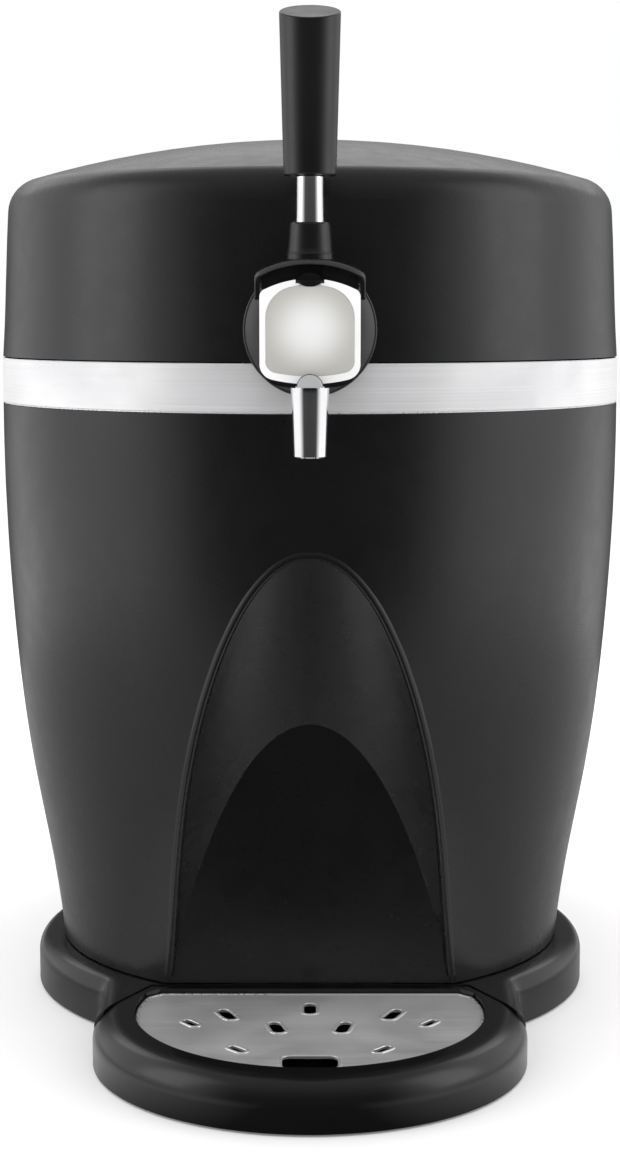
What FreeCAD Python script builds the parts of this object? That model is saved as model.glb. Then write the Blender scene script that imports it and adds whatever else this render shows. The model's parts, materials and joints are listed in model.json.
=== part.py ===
"""Mini keg beer dispenser: a cooled barrel-shaped cabinet with a lid, a tap and a drip tray.

Frame: millimetres, +Z up, the front (tap and tray) faces -Y, the barrel's axis is the Z axis,
and the floor that the rubber feet stand on is Z = 0.
"""
import FreeCAD, Part

import math
import os

import Sketcher

Vector = FreeCAD.Vector
Rotation = FreeCAD.Rotation

# ---------------------------------------------------------------------------------------------
# Driving dimensions, in millimetres and degrees
# ---------------------------------------------------------------------------------------------
SIZES = {
    # fits and gaps
    "wall": 2.5,                 # moulded casing wall
    "seam": 0.6,                 # open seam between neighbouring casings
    "slack": 0.4,                # loose clearance round soft and sliding pieces
    "pin_play": 0.06,            # running clearance of a shaft, on the radius
    # base
    "foot_lift": 1.0,            # underside of the mouldings above the floor
    "base_height": 21.7,
    "base_margin": 11.6,         # the base's radius beyond the barrel's foot
    "base_round": 8.0,
    "base_wall": 3.0,
    "corner_blend": 12.0,
    "arm_half_width": 88.6,
    "arm_stand": 4.0,            # the arms' ends beyond the base's radius
    "arm_length": 32.7,          # from there back to the tray bay's rear wall
    "bay_rear_half": 67.5,
    "bay_front_half": 84.8,
    "plate_thickness": 2.5,
    "foot_radius": 8.0,
    # barrel
    "barrel_radius": 138.0,      # at the band
    "barrel_foot_inset": 24.1,   # how much narrower it is at its foot and at three heights
    "barrel_low_inset": 19.5,
    "barrel_low_height": 57.2,
    "barrel_waist_inset": 11.7,
    "barrel_waist_height": 99.7,
    "barrel_high_inset": 3.5,
    "barrel_high_height": 169.1,
    "rim_height": 283.0,
    "band_drop": 17.4,           # the band's lower edge under the rim
    "band_height": 19.4,
    "band_thickness": 1.2,
    # glass alcove in the barrel's front, cut by an ellipsoid
    "scoop_stand": 158.0,        # centre of the scoop's ellipsoid, in front of the barrel
    "scoop_drop": 187.0,         # and below the floor
    "scoop_width": 123.0,        # its half axes
    "scoop_length": 260.0,
    "scoop_height": 500.0,
    # keg chamber
    "keg_radius": 86.0,
    "keg_play": 3.0,
    "liner_wall": 0.8,
    "chamber_floor": 27.0,
    "liner_lip": 6.0,
    "seat_height": 6.0,
    "seat_width": 18.0,
    # lid
    "lid_taper": 3.4,            # how much narrower than the barrel the lid's wall ends
    "lid_wall_rise": 66.0,       # the wall's top over the rim
    "lid_shoulder_width": 9.6,
    "lid_shoulder_rise": 13.2,
    "lid_dome_rise": 18.3,
    "headroom": 62.0,            # clear height over the chamber rim inside the lid
    "lid_boss_inset": 11.0,
    "gasket_width": 5.0,
    # rear housing
    "rear_half_width": 75.0,
    "rear_drop": 33.0,           # the housing's top under the rim
    "rear_reach": 73.0,          # the housing's back behind the barrel
    "rear_round": 16.0,
    "rear_top_round": 5.0,
    "cover_depth": 19.0,
    "spacer_length": 5.0,        # wall spacers on the rear cover
    # hinge
    "hinge_stand": 16.0,         # the pin behind the barrel
    "hinge_drop": 15.0,          # and under the rim
    "hinge_radius": 7.0,
    "hinge_pin_radius": 2.5,
    "hinge_ear_place": 31.0,
    "hinge_ear_width": 7.0,
    "hinge_arm_width": 9.0,
    # cooling
    "cooler_height": 150.0,
    "sink_size": 92.0,
    "sink_inset": 16.0,          # the heat sink's face inside the barrel's radius
    "sink_base": 6.0,
    "fin_length": 28.0,
    "fin_thickness": 1.6,
    "peltier_size": 40.0,
    "peltier_thickness": 4.0,
    "cold_block_size": 60.0,
    "fan_size": 92.0,
    "fan_depth": 25.0,
    "fan_bore_radius": 43.5,
    "fan_hub_radius": 19.0,
    "fan_blade_radius": 42.0,
    "fan_screw_place": 41.25,
    "cooler_screw_place": 25.0,
    # tap
    "tap_rise": 15.2,            # the tap's middle over the rim
    "tap_disc_radius": 26.2,
    "disc_stand": 9.0,           # the round disc's front before the barrel
    "neck_radius": 17.5,
    "tap_body_half": 14.5,
    "tap_body_above": 16.8,
    "tap_body_below": 19.2,
    "tap_body_depth": 19.0,
    "backing_depth": 2.5,
    "bezel_depth": 8.5,
    "bezel_crown": 46.7,
    "bezel_half_width": 19.0,
    "face_inset": 1.2,
    "hose_radius": 4.0,
    "hose_wall": 1.4,
    "hose_stand": 14.5,          # the spout's axis before the round disc
    "hose_rise": 3.8,
    "spout_drop": 21.8,
    "spout_length": 26.7,
    "spout_top_radius": 7.4,
    "spout_bottom_radius": 6.45,
    # lever
    "lever_stand": 6.0,          # the lever's pin before the round disc
    "pivot_drop": 14.2,
    "pivot_pin_radius": 2.0,
    "hood_radius": 42.0,
    "hood_half_width": 21.2,
    "hood_wall": 1.8,
    "hood_front_angle": 12.0,
    "hood_back_angle": 14.0,
    "hood_drop": 15.5,           # the hood's sides below its crown
    "hood_seat_radius": 9.0,     # the boss on the hood that the collar stands on
    "collar_foot_radius": 9.4,
    "collar_length": 12.0,
    "rod_radius": 5.2,
    "rod_show": 17.6,            # the rod's bare length
    "grip_length": 61.4,
    "grip_bottom_radius": 10.1,
    "grip_top_radius": 11.75,
    "grip_slope": 18.4,
    # drip tray
    "tray_stand": 1.4,           # centre of its round front, beyond the base's radius
    "tray_radius": 89.1,
    "tray_round": 11.0,
    "tray_wall": 2.5,
    "tray_height": 21.2,
    "drip_plate_radius": 71.4,
    "drip_plate_rim": 4.9,       # the plate's back edge before the bay's rear wall
    "drip_plate_top": 19.1,
    "drip_plate_thickness": 1.2,
    "drip_plate_gap": 0.5,
}

doc = FreeCAD.newDocument("keg_dispenser")
sheet = doc.addObject("Spreadsheet::Sheet", "Sizes")
for row, (alias, value) in enumerate(SIZES.items(), start=1):
    sheet.set("A%d" % row, alias)
    sheet.set("B%d" % row, str(value))
    sheet.setAlias("B%d" % row, alias)
doc.recompute()


class Size:
    """A number together with the sheet formula that gives it."""

    def __init__(self, value, formula):
        self.value = float(value)
        self.formula = formula

    def __float__(self):
        return self.value

    def join(self, other, sign, result):
        other = as_size(other)
        return Size(result(self.value, other.value), "(%s %s %s)" % (self.formula, sign, other.formula))

    def __add__(self, other):
        return self.join(other, "+", lambda a, b: a + b)

    def __sub__(self, other):
        return self.join(other, "-", lambda a, b: a - b)

    def __mul__(self, other):
        return self.join(other, "*", lambda a, b: a * b)

    def __truediv__(self, other):
        return self.join(other, "/", lambda a, b: a / b)

    def __radd__(self, other):
        return as_size(other) + self

    def __rsub__(self, other):
        return as_size(other) - self

    def __rmul__(self, other):
        return as_size(other) * self

    def __neg__(self):
        return Size(-self.value, "(-%s)" % self.formula)


def as_size(number):
    """A plain number as a Size, so that sums can mix both."""
    if isinstance(number, Size):
        return number
    return Size(number, "(%r)" % float(number))


def root(number):
    number = as_size(number)
    return Size(math.sqrt(number.value), "sqrt(%s)" % number.formula)


def chord(radius, offset):
    """Half the chord of a circle at a distance from its centre."""
    return root(as_size(radius) * radius - as_size(offset) * offset)


def cosine(degrees):
    return math.cos(math.radians(degrees))


def sine(degrees):
    return math.sin(math.radians(degrees))


class Namespace:
    """The sheet's cells as attributes: S.wall and so on."""


S = Namespace()
for alias in SIZES:
    setattr(S, alias, Size(sheet.get(alias), "Sizes." + alias))

# Places that follow from the sizes
S.band_bottom = S.rim_height - S.band_drop
S.barrel_foot_radius = S.barrel_radius - S.barrel_foot_inset
S.base_radius = S.barrel_foot_radius + S.base_margin
S.arm_reach = S.base_radius + S.arm_stand
S.bay_depth = S.arm_reach - S.arm_length
S.tray_centre = S.base_radius + S.tray_stand
S.drip_plate_back = S.bay_depth + S.drip_plate_rim
S.scoop_place = S.barrel_radius + S.scoop_stand
S.lid_wall_radius = S.barrel_radius - S.lid_taper
S.lid_wall_top = S.rim_height + S.lid_wall_rise
S.lid_edge_radius = S.lid_wall_radius - S.lid_shoulder_width
S.lid_edge_height = S.lid_wall_top + S.lid_shoulder_rise
S.lid_crown = S.lid_edge_height + S.lid_dome_rise
S.rear_height = S.rim_height - S.rear_drop
S.rear_depth = S.barrel_radius + S.rear_reach
S.cover_start = S.rear_depth - S.cover_depth
S.hinge_offset = S.barrel_radius + S.hinge_stand
S.hinge_height = S.rim_height - S.hinge_drop
S.sink_start = S.barrel_radius - S.sink_inset
S.tap_height = S.rim_height + S.tap_rise
S.tap_disc_front = S.barrel_radius + S.disc_stand
S.tap_back_front = S.tap_disc_front + S.tap_body_depth
S.tap_body_top = S.tap_height + S.tap_body_above
S.tap_body_bottom = S.tap_height - S.tap_body_below
S.bezel_back = S.tap_back_front + S.backing_depth
S.bezel_front = S.bezel_back + S.bezel_depth
S.hose_place = S.tap_disc_front + S.hose_stand
S.hose_level = S.tap_height + S.hose_rise
S.spout_top = S.tap_height - S.spout_drop
S.spout_bottom = S.spout_top - S.spout_length
S.lever_place = S.tap_disc_front + S.lever_stand
S.pivot_height = S.tap_height - S.pivot_drop
S.collar_bottom = S.pivot_height + S.hood_radius + 1.0
S.collar_top = S.collar_bottom + S.collar_length
S.grip_bottom = S.collar_top + S.rod_show
S.grip_top = S.grip_bottom + S.grip_length
FAR = 500.0                      # beyond the part on every side

# ---------------------------------------------------------------------------------------------
# Helpers
# ---------------------------------------------------------------------------------------------
AXES = {
    "Z": Rotation(),
    "X": Rotation(Vector(0, 1, 0), 90),
    "Y": Rotation(Vector(1, 0, 0), -90),
    "-Y": Rotation(Vector(1, 0, 0), 90),
    "-Z": Rotation(Vector(1, 0, 0), 180),
}
NODES = []


def bind(feature, prop, size):
    """Set a property from a Size and tie it to the sheet."""
    size = as_size(size)
    feature.setExpression(prop, size.formula)


def place(feature, x=0, y=0, z=0, rotation=None):
    if rotation is not None:
        feature.Placement = FreeCAD.Placement(Vector(0, 0, 0), rotation)
    for letter, size in (("x", x), ("y", y), ("z", z)):
        if isinstance(size, Size) or size:
            bind(feature, "Placement.Base." + letter, size)
    return feature


def cylinder(label, radius, height, x=0, y=0, z=0, axis="Z"):
    feature = doc.addObject("Part::Cylinder", label)
    bind(feature, "Radius", radius)
    bind(feature, "Height", height)
    return place(feature, x, y, z, AXES[axis])


def block(label, x0, x1, y0, y1, z0, z1):
    """A box between two corners."""
    feature = doc.addObject("Part::Box", label)
    bind(feature, "Length", as_size(x1) - x0)
    bind(feature, "Width", as_size(y1) - y0)
    bind(feature, "Height", as_size(z1) - z0)
    return place(feature, x0, y0, z0)


def sphere(label, radius, x=0, y=0, z=0):
    feature = doc.addObject("Part::Sphere", label)
    bind(feature, "Radius", radius)
    return place(feature, x, y, z)


def fuse(label, shapes):
    feature = doc.addObject("Part::MultiFuse", label)
    feature.Shapes = shapes
    feature.Refine = True
    return feature


def common(label, first, second):
    feature = doc.addObject("Part::MultiCommon", label)
    feature.Shapes = [first, second]
    return feature


def cut(label, base, tools):
    """Base less the tools."""
    tool = tools[0]
    if len(tools) > 1:
        tool = doc.addObject("Part::MultiFuse", label + "_tools")
        tool.Shapes = tools
    feature = doc.addObject("Part::Cut", label)
    feature.Base = base
    feature.Tool = tool
    feature.Refine = True
    return feature


def group(label, solids):
    feature = doc.addObject("Part::Compound", label)
    feature.Links = solids
    return feature


def rounded(label, base, radius, chosen):
    """Base with the chosen edges filleted."""
    doc.recompute()
    feature = doc.addObject("Part::Fillet", label)
    feature.Base = base
    size = float(radius)
    edges = enumerate(base.Shape.Edges, start=1)
    feature.Edges = [(number, size, size) for number, edge in edges if chosen(edge)]
    return feature


def sub_part(name, feature):
    """Name a finished piece and list it for export."""
    feature.Label = name
    NODES.append(feature)
    return feature


def at_height(height, inside=None):
    """Edge test: a flat edge at one height, and optionally a test of its middle."""
    def chosen(edge):
        box = edge.BoundBox
        if abs(box.ZMin - float(height)) > 0.01 or abs(box.ZMax - float(height)) > 0.01:
            return False
        middle = edge.valueAt((edge.FirstParameter + edge.LastParameter) / 2)
        return inside is None or inside(middle)
    return chosen


def upright(edge):
    """Edge test: a straight vertical edge."""
    box = edge.BoundBox
    return box.XLength < 0.01 and box.YLength < 0.01


class Via:
    """Points that a curved stretch of an outline passes through."""

    def __init__(self, *points):
        self.points = points


def origin_plane(body, role):
    return [plane for plane in body.Origin.OriginFeatures if plane.Role == role][0]


def pin_coordinate(sketch, kind, geometry, position, size):
    """Tie one coordinate of a segment's end to the sheet."""
    size = as_size(size)
    if abs(size.value) < 1e-9:
        axis = -2 if kind == "DistanceX" else -1
        sketch.addConstraint(Sketcher.Constraint("PointOnObject", geometry, position, axis))
        return
    if size.value > 0:
        datum = Sketcher.Constraint(kind, -1, 1, geometry, position, size.value)
    else:
        size = -size
        datum = Sketcher.Constraint(kind, geometry, position, -1, 1, size.value)
    number = sketch.addConstraint(datum)
    sketch.setExpression("Constraints[%d]" % number, size.formula)


def outline(sketch, corners):
    """Draw a closed outline of lines, arcs (one Via point) and splines (several).

    A sketch keeps its arcs anticlockwise, so a clockwise one is drawn from its far end.
    """
    vertices = []
    stretches = []
    for corner in corners:
        if isinstance(corner, Via):
            stretches[-1] = [flat_point(point) for point in corner.points]
        else:
            vertices.append(corner)
            stretches.append([])
    count = len(vertices)
    first_end = []
    for number, through in enumerate(stretches):
        start = flat_point(vertices[number])
        end = flat_point(vertices[(number + 1) % count])
        forward = True
        if not through:
            curve = Part.LineSegment(start, end)
        elif len(through) == 1:
            forward = (through[0] - start).cross(end - through[0]).z > 0
            if forward:
                curve = Part.Arc(start, through[0], end)
            else:
                curve = Part.Arc(end, through[0], start)
        else:
            curve = Part.BSplineCurve()
            curve.interpolate([start] + through + [end])
        sketch.addGeometry(curve, False)
        first_end.append(1 if forward else 2)
    for number in range(count):
        following = (number + 1) % count
        joint = Sketcher.Constraint(
            "Coincident", number, 3 - first_end[number], following, first_end[following])
        sketch.addConstraint(joint)
    for number, (x, y) in enumerate(vertices):
        pin_coordinate(sketch, "DistanceX", number, first_end[number], x)
        pin_coordinate(sketch, "DistanceY", number, first_end[number], y)


def flat_point(point):
    return Vector(float(point[0]), float(point[1]), 0)


def mirror_image(corners):
    """The same stretch of outline on the other side of the middle, run backwards."""
    mirrored = []
    for corner in reversed(corners):
        if isinstance(corner, Via):
            mirrored.append(Via(*[(-as_size(x), y) for x, y in reversed(corner.points)]))
        else:
            mirrored.append((-as_size(corner[0]), corner[1]))
    return mirrored


def sketched_body(label, plane, corners, offset=None):
    """A body with one sketch of a closed outline on an origin plane, moved along its normal."""
    body = doc.addObject("PartDesign::Body", label)
    sketch = add_sketch(body, label + "_sketch", plane, corners, offset)
    return body, sketch


def add_sketch(body, name, plane, corners, offset=None):
    sketch = body.newObject("Sketcher::SketchObject", name)
    sketch.AttachmentSupport = [(origin_plane(body, plane), "")]
    sketch.MapMode = "FlatFace"
    if offset is not None:
        bind(sketch, "AttachmentOffset.Base.z", offset)
    outline(sketch, corners)
    return sketch


def turned(label, corners, x=0, y=0, z=0, axis="Z"):
    """A solid of revolution: corners are (radius, height), revolved about the local Z axis."""
    body, sketch = sketched_body(label, "XZ_Plane", corners)
    feature = body.newObject("PartDesign::Revolution", label + "_turn")
    feature.Profile = sketch
    feature.ReferenceAxis = (sketch, ["V_Axis"])
    feature.Angle = 360
    return place(body, x, y, z, AXES[axis])


def plate(label, corners, z0, z1):
    """A flat outline in plan, padded from one height to another."""
    body, sketch = sketched_body(label, "XY_Plane", corners, z0)
    feature = body.newObject("PartDesign::Pad", label + "_pad")
    feature.Profile = sketch
    bind(feature, "Length", as_size(z1) - z0)
    return body


def frontal(label, corners, near, far):
    """An outline seen from the front, padded forwards from near to far in front of the axis."""
    body, sketch = sketched_body(label, "XZ_Plane", corners, near)
    feature = body.newObject("PartDesign::Pad", label + "_pad")
    feature.Profile = sketch
    bind(feature, "Length", as_size(far) - near)
    return body


def sideways(label, corners, x0, x1):
    """An outline in the YZ plane, padded along X from x0 to x1."""
    body, sketch = sketched_body(label, "YZ_Plane", corners, x0)
    feature = body.newObject("PartDesign::Pad", label + "_pad")
    feature.Profile = sketch
    bind(feature, "Length", as_size(x1) - x0)
    return body


def sorted_pair(first, second):
    return sorted((first, second), key=float)


def name_of(shape, edge):
    for number, candidate in enumerate(shape.Edges, start=1):
        if candidate.isSame(edge):
            return "Edge%d" % number
    return None


screw_radius = as_size(1.5)
screw_head_radius = as_size(3.0)
screw_head_height = as_size(1.6)


def screw(label, x, y, z, length, axis="Z", head_radius=screw_head_radius, radius=screw_radius):
    """A pan-head screw: the head's free face is at (x, y, z) and the shank runs along axis."""
    profile = [
        (0, 0), (head_radius - 0.5, 0), (head_radius, 0.5), (head_radius, screw_head_height),
        (radius, screw_head_height), (radius, screw_head_height + length),
        (0, screw_head_height + length)]
    return turned(label, profile, x, y, z, axis)


# ---------------------------------------------------------------------------------------------
# Shared places
# ---------------------------------------------------------------------------------------------
band_top = S.band_bottom + S.band_height
shell_bottom = S.base_height + S.seam
shell_top = S.band_bottom - S.seam
lid_bottom = band_top + S.seam
chamber_radius = S.keg_radius + S.keg_play
liner_radius = chamber_radius + S.liner_wall
cover_inside = S.rear_depth - S.wall
plate_under = S.foot_lift + S.seam
plate_upper = plate_under + S.plate_thickness
boss_radius = as_size(4.5)
passage_half = as_size(50)
passage_start = S.barrel_radius + 4

# ---------------------------------------------------------------------------------------------
# Base
# ---------------------------------------------------------------------------------------------
tongue_half = S.rear_half_width + 3
base_inner_radius = S.base_radius - S.base_wall
base_ceiling = S.base_height - S.base_wall
bay_wall_back = S.bay_depth - S.base_wall
spigot_top = S.base_height + 5


def base_outline():
    """Round base with two short arms at the front and a tongue under the rear housing."""
    right = [
        (S.arm_half_width, -S.arm_reach),
        (S.arm_half_width, -chord(S.base_radius, S.arm_half_width)),
        Via((S.base_radius, 0)),
        (tongue_half, chord(S.base_radius, tongue_half)),
        (tongue_half, S.rear_depth),
    ]
    return right + mirror_image(right)


def bay_outline(gap, reach):
    """The drip tray's bay between the arms, in plan, narrower by a gap all round."""
    right = [
        (S.bay_rear_half - gap, -S.bay_depth - gap),
        (S.bay_front_half - gap, -S.arm_reach - gap),
        (S.bay_front_half - gap, -reach),
    ]
    return mirror_image(right) + right


def base_screw_places():
    ring = S.base_radius - 20.5
    places = [(ring * cosine(angle), ring * sine(angle)) for angle in (35, 90, 145, 215, 325)]
    side = S.rear_half_width - 13
    return places + [(-side, S.rear_depth - 21), (side, S.rear_depth - 21)]


def make_base():
    solid = plate("base_solid", base_outline(), S.foot_lift, S.base_height)
    doc.recompute()
    corners = [
        name_of(solid.Shape, edge) for edge in solid.Shape.Edges
        if upright(edge) and edge.Vertexes[0].Point.y > -float(S.bay_depth)
    ]
    pad = solid.Tip
    blend = solid.newObject("PartDesign::Fillet", "base_corner_blend")
    blend.Base = (pad, corners)
    bind(blend, "Radius", S.corner_blend)
    doc.recompute()
    top = at_height(S.base_height, lambda middle: middle.y > -float(S.arm_reach) + 1)
    crown = solid.newObject("PartDesign::Fillet", "base_top_round")
    crown.Base = (blend, [name_of(blend.Shape, edge) for edge in blend.Shape.Edges if top(edge)])
    bind(crown, "Radius", S.base_round)
    solid.Tip = crown
    bay = plate("base_bay", bay_outline(0, S.arm_reach + 20), 0, S.base_height + 5)
    hollow_round = cylinder("base_hollow_round", base_inner_radius, base_ceiling, 0, 0, 0)
    hollow_keep = block("base_hollow_keep", -FAR, FAR, -bay_wall_back, FAR, 0, base_ceiling)
    hollow = common("base_hollow", hollow_round, hollow_keep)
    rear_hollow = block("base_rear_hollow", -S.rear_half_width, S.rear_half_width,
                        0, S.rear_depth - S.base_wall, 0, base_ceiling)
    passage = block("base_passage", -passage_half, passage_half, passage_start, S.cover_start,
                    0, S.base_height + 5)
    shell = cut("base_open", solid, [bay, hollow, rear_hollow, passage])
    bosses = []
    for number, (x, y) in enumerate(base_screw_places()):
        bosses.append(cylinder("base_boss_%d" % number, boss_radius,
                               base_ceiling + 0.5 - plate_upper, x, y, plate_upper))
    collar_radius = S.barrel_foot_radius - S.wall - S.slack
    collar_base = S.base_height - 1
    collar = turned("base_collar", [
        (collar_radius - 2, collar_base),
        (collar_radius, collar_base),
        (collar_radius, spigot_top),
        (collar_radius - 2, spigot_top)])
    collar_keep = block("base_collar_keep", -FAR, FAR, -bay_wall_back + 1, S.barrel_radius, 0, FAR)
    solid_base = fuse("base_fused", [shell] + bosses + [common("base_collar_cut", collar, collar_keep)])
    pilots = []
    for number, (x, y) in enumerate(base_screw_places()):
        pilots.append(cylinder("base_pilot_%d" % number, screw_radius, 10, x, y, plate_upper - 0.1))
    sub_part("base", cut("base", solid_base, pilots))


def make_bottom_plate():
    disc = cylinder("bottom_disc", base_inner_radius - S.slack, S.plate_thickness, 0, 0, plate_under)
    keep = block("bottom_keep", -FAR, FAR, -bay_wall_back + S.slack, FAR, 0, FAR)
    tongue = block("bottom_tongue", -S.rear_half_width + S.slack, S.rear_half_width - S.slack,
                   0, S.rear_depth - S.base_wall - S.slack, plate_under, plate_upper)
    sheet_solid = fuse("bottom_fused", [common("bottom_front", disc, keep), tongue])
    holes = []
    for number, (x, y) in enumerate(base_screw_places()):
        holes.append(cylinder("bottom_hole_%d" % number, screw_radius + 0.2, 10, x, y, 0))
        holes.append(cylinder("bottom_sink_%d" % number, screw_head_radius + 0.3,
                              1 + screw_head_height - 0.4, x, y, plate_under - 1))
    for number in range(-3, 4):
        x = 12 * number
        holes.append(block("bottom_vent_%d" % (number + 3), x - 2.5, x + 2.5,
                           S.barrel_radius + 2, S.barrel_radius + 42, 0, 10))
    sub_part("bottom_plate", cut("bottom_plate", sheet_solid, holes))
    screws = []
    for number, (x, y) in enumerate(base_screw_places()):
        screws.append(screw("base_screw_%d" % number, x, y, plate_under - 0.4, 7))
    sub_part("base_screws", group("base_screws", screws))


def make_feet():
    ring = S.base_radius - 19
    places = [(ring * cosine(angle), ring * sine(angle)) for angle in (-43, 27)]
    places.append((S.rear_half_width - 17, S.rear_depth - 39))
    pads = []
    for number, (x, y) in enumerate(places):
        for side in (-1, 1):
            label = "foot_%d_%s" % (number, "left" if side < 0 else "right")
            pads.append(cylinder(label, S.foot_radius, plate_under, side * x, y, 0))
    sub_part("rubber_feet", group("rubber_feet", pads))


# ---------------------------------------------------------------------------------------------
# Barrel
# ---------------------------------------------------------------------------------------------
def barrel_corners(inset, bottom, top, inner=None):
    """Profile of the barrel moved inwards, either solid or down to an inner radius."""
    core = as_size(0) if inner is None else inner
    full = S.barrel_radius - inset
    return [
        (full - S.barrel_foot_inset, bottom),
        Via((full - S.barrel_low_inset, S.barrel_low_height),
            (full - S.barrel_waist_inset, S.barrel_waist_height),
            (full - S.barrel_high_inset, S.barrel_high_height)),
        (full, top),
        (core, top),
        (core, bottom),
    ]


def alcove(label, margin):
    """The scooped recess behind the glass: part of an ellipsoid with a flat back wall."""
    scoop = doc.addObject("Part::Ellipsoid", label + "_scoop")
    bind(scoop, "Radius1", S.scoop_height + margin)
    bind(scoop, "Radius2", S.scoop_width + margin)
    bind(scoop, "Radius3", S.scoop_length + margin)
    place(scoop, 0, -S.scoop_place, -S.scoop_drop)
    back = S.bay_depth - 0.3 - margin
    front = block(label + "_front", -FAR, FAR, -FAR, -back, 0, S.band_bottom)
    return common(label, scoop, front)


cooler_window_half = S.sink_size / 2 + 3


def cooler_window(label, x_margin, y_start, y_end):
    """The opening round the cooler, cut through the back of the barrel."""
    half = cooler_window_half + x_margin
    return block(label, -half, half, y_start, y_end, S.cooler_height - half, S.cooler_height + half)


def make_barrel():
    outer = turned("barrel_outer", barrel_corners(0, shell_bottom, shell_top))
    inner = turned("barrel_inner", barrel_corners(S.wall, shell_bottom - 1, shell_top + 1))
    scoop = alcove("barrel_alcove", 0)
    scoop_inner = alcove("barrel_alcove_inner", S.wall)
    hollow = cut("barrel_hollow", inner, [scoop_inner])
    window = cooler_window("barrel_window", 0, 0, FAR)
    shell = cut("barrel_shell", outer, [scoop, hollow, window])
    sub_part("barrel_shell", shell)
    band = turned("band_profile", [
        (S.barrel_radius - S.band_thickness, S.band_bottom),
        (S.barrel_radius - 0.4, S.band_bottom),
        (S.barrel_radius, S.band_bottom + 0.4),
        (S.barrel_radius, band_top - 0.4),
        (S.barrel_radius - 0.4, band_top),
        (S.barrel_radius - S.band_thickness, band_top)])
    sub_part("steel_band", band)


rim_outer = S.barrel_radius - S.band_thickness
skirt_outer = S.barrel_radius - S.wall - 1.0
rim_skirt_bottom = S.band_bottom - 16


def make_rim():
    """Rim that bridges the gap between the barrel and the chamber and carries the band."""
    under = S.rim_height - S.wall
    corners = [
        (liner_radius, S.rim_height),
        (liner_radius, S.band_bottom - 4),
        (liner_radius + S.wall, S.band_bottom - 4),
        (liner_radius + S.wall, under),
        (skirt_outer - S.wall, under),
        (skirt_outer - S.wall, rim_skirt_bottom),
        (skirt_outer, rim_skirt_bottom),
        (skirt_outer, S.band_bottom),
        (rim_outer, S.band_bottom),
        (rim_outer, S.rim_height),
    ]
    sub_part("barrel_rim", turned("barrel_rim", corners))


def make_chamber():
    floor_top = S.chamber_floor + S.liner_wall
    lip_radius = liner_radius + S.liner_lip
    corners = [
        (0, S.chamber_floor),
        (liner_radius - 6, S.chamber_floor),
        (liner_radius, S.chamber_floor + 6),
        (liner_radius, S.rim_height),
        (lip_radius, S.rim_height),
        (lip_radius, S.rim_height + S.liner_wall),
        (chamber_radius, S.rim_height + S.liner_wall),
        (chamber_radius, floor_top + 6),
        (chamber_radius - 6, floor_top),
        (0, floor_top),
    ]
    sub_part("keg_chamber", turned("keg_chamber", corners))
    ring_outer = chamber_radius - 7
    ring = [
        (ring_outer - S.seat_width, floor_top),
        (ring_outer, floor_top),
        (ring_outer, floor_top + S.seat_height),
        (ring_outer - 5, floor_top + S.seat_height),
        (ring_outer - 7, floor_top + S.seat_height - 2),
        (ring_outer - S.seat_width, floor_top + S.seat_height - 2),
    ]
    sub_part("keg_seat_ring", turned("keg_seat_ring", ring))


def make_chamber_foam():
    """Rigid foam between the chamber and the barrel."""
    gap = S.wall + S.slack
    foam_top = rim_skirt_bottom - S.slack
    outer = turned("foam_outer", barrel_corners(gap, spigot_top + 1, foam_top))
    inner = cylinder("foam_inner", liner_radius + S.slack, foam_top, 0, 0, S.chamber_floor - S.slack)
    scoop = alcove("foam_alcove", gap)
    window = cooler_window("foam_window", 0.5, S.sink_start - 5, FAR)
    half = S.cold_block_size / 2 + S.slack
    slot = block("foam_block_slot", -half, half, 0, FAR, S.cooler_height - half, S.cooler_height + half)
    floor_foam = cylinder("foam_floor", S.barrel_foot_radius - 14, 7, 0, 0, S.base_height + S.slack)
    full = fuse("foam_full", [outer, floor_foam])
    sub_part("chamber_insulation", cut("chamber_insulation", full, [scoop, inner, window, slot]))


# ---------------------------------------------------------------------------------------------
# Cooler: cold block, thermoelectric module, heat sink and fan, stacked along +Y
# ---------------------------------------------------------------------------------------------
sink_end = S.sink_start + S.sink_base + S.fin_length
fan_start = sink_end + 0.5
fan_end = fan_start + S.fan_depth
peltier_start = S.sink_start - S.peltier_thickness


def corner_places(offset):
    return [(x, z) for x in (-offset, offset) for z in (-offset, offset)]


def make_cooler():
    half = S.cold_block_size / 2
    raw = block("cold_raw", -half, half, 0, peltier_start, S.cooler_height - half, S.cooler_height + half)
    can = cylinder("cold_can", liner_radius + 0.1, FAR, 0, 0, 0)
    pilots = []
    for number, (x, z) in enumerate(corner_places(S.cooler_screw_place)):
        pilots.append(cylinder("cold_pilot_%d" % number, screw_radius, 12, x,
                               peltier_start - 12, S.cooler_height + z, "Y"))
    sub_part("cold_block", cut("cold_block", raw, [can] + pilots))
    half = S.peltier_size / 2
    sub_part("peltier_module", block("peltier_module", -half, half, peltier_start, S.sink_start,
                                     S.cooler_height - half, S.cooler_height + half))
    make_heat_sink()
    bolts = []
    reach = S.sink_base + S.peltier_thickness + 9
    for number, (x, z) in enumerate(corner_places(S.cooler_screw_place)):
        bolts.append(screw("cooler_screw_%d" % number, x, S.sink_start + S.sink_base + screw_head_height,
                           S.cooler_height + z, reach, "-Y"))
    sub_part("cooler_screws", group("cooler_screws", bolts))


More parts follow.
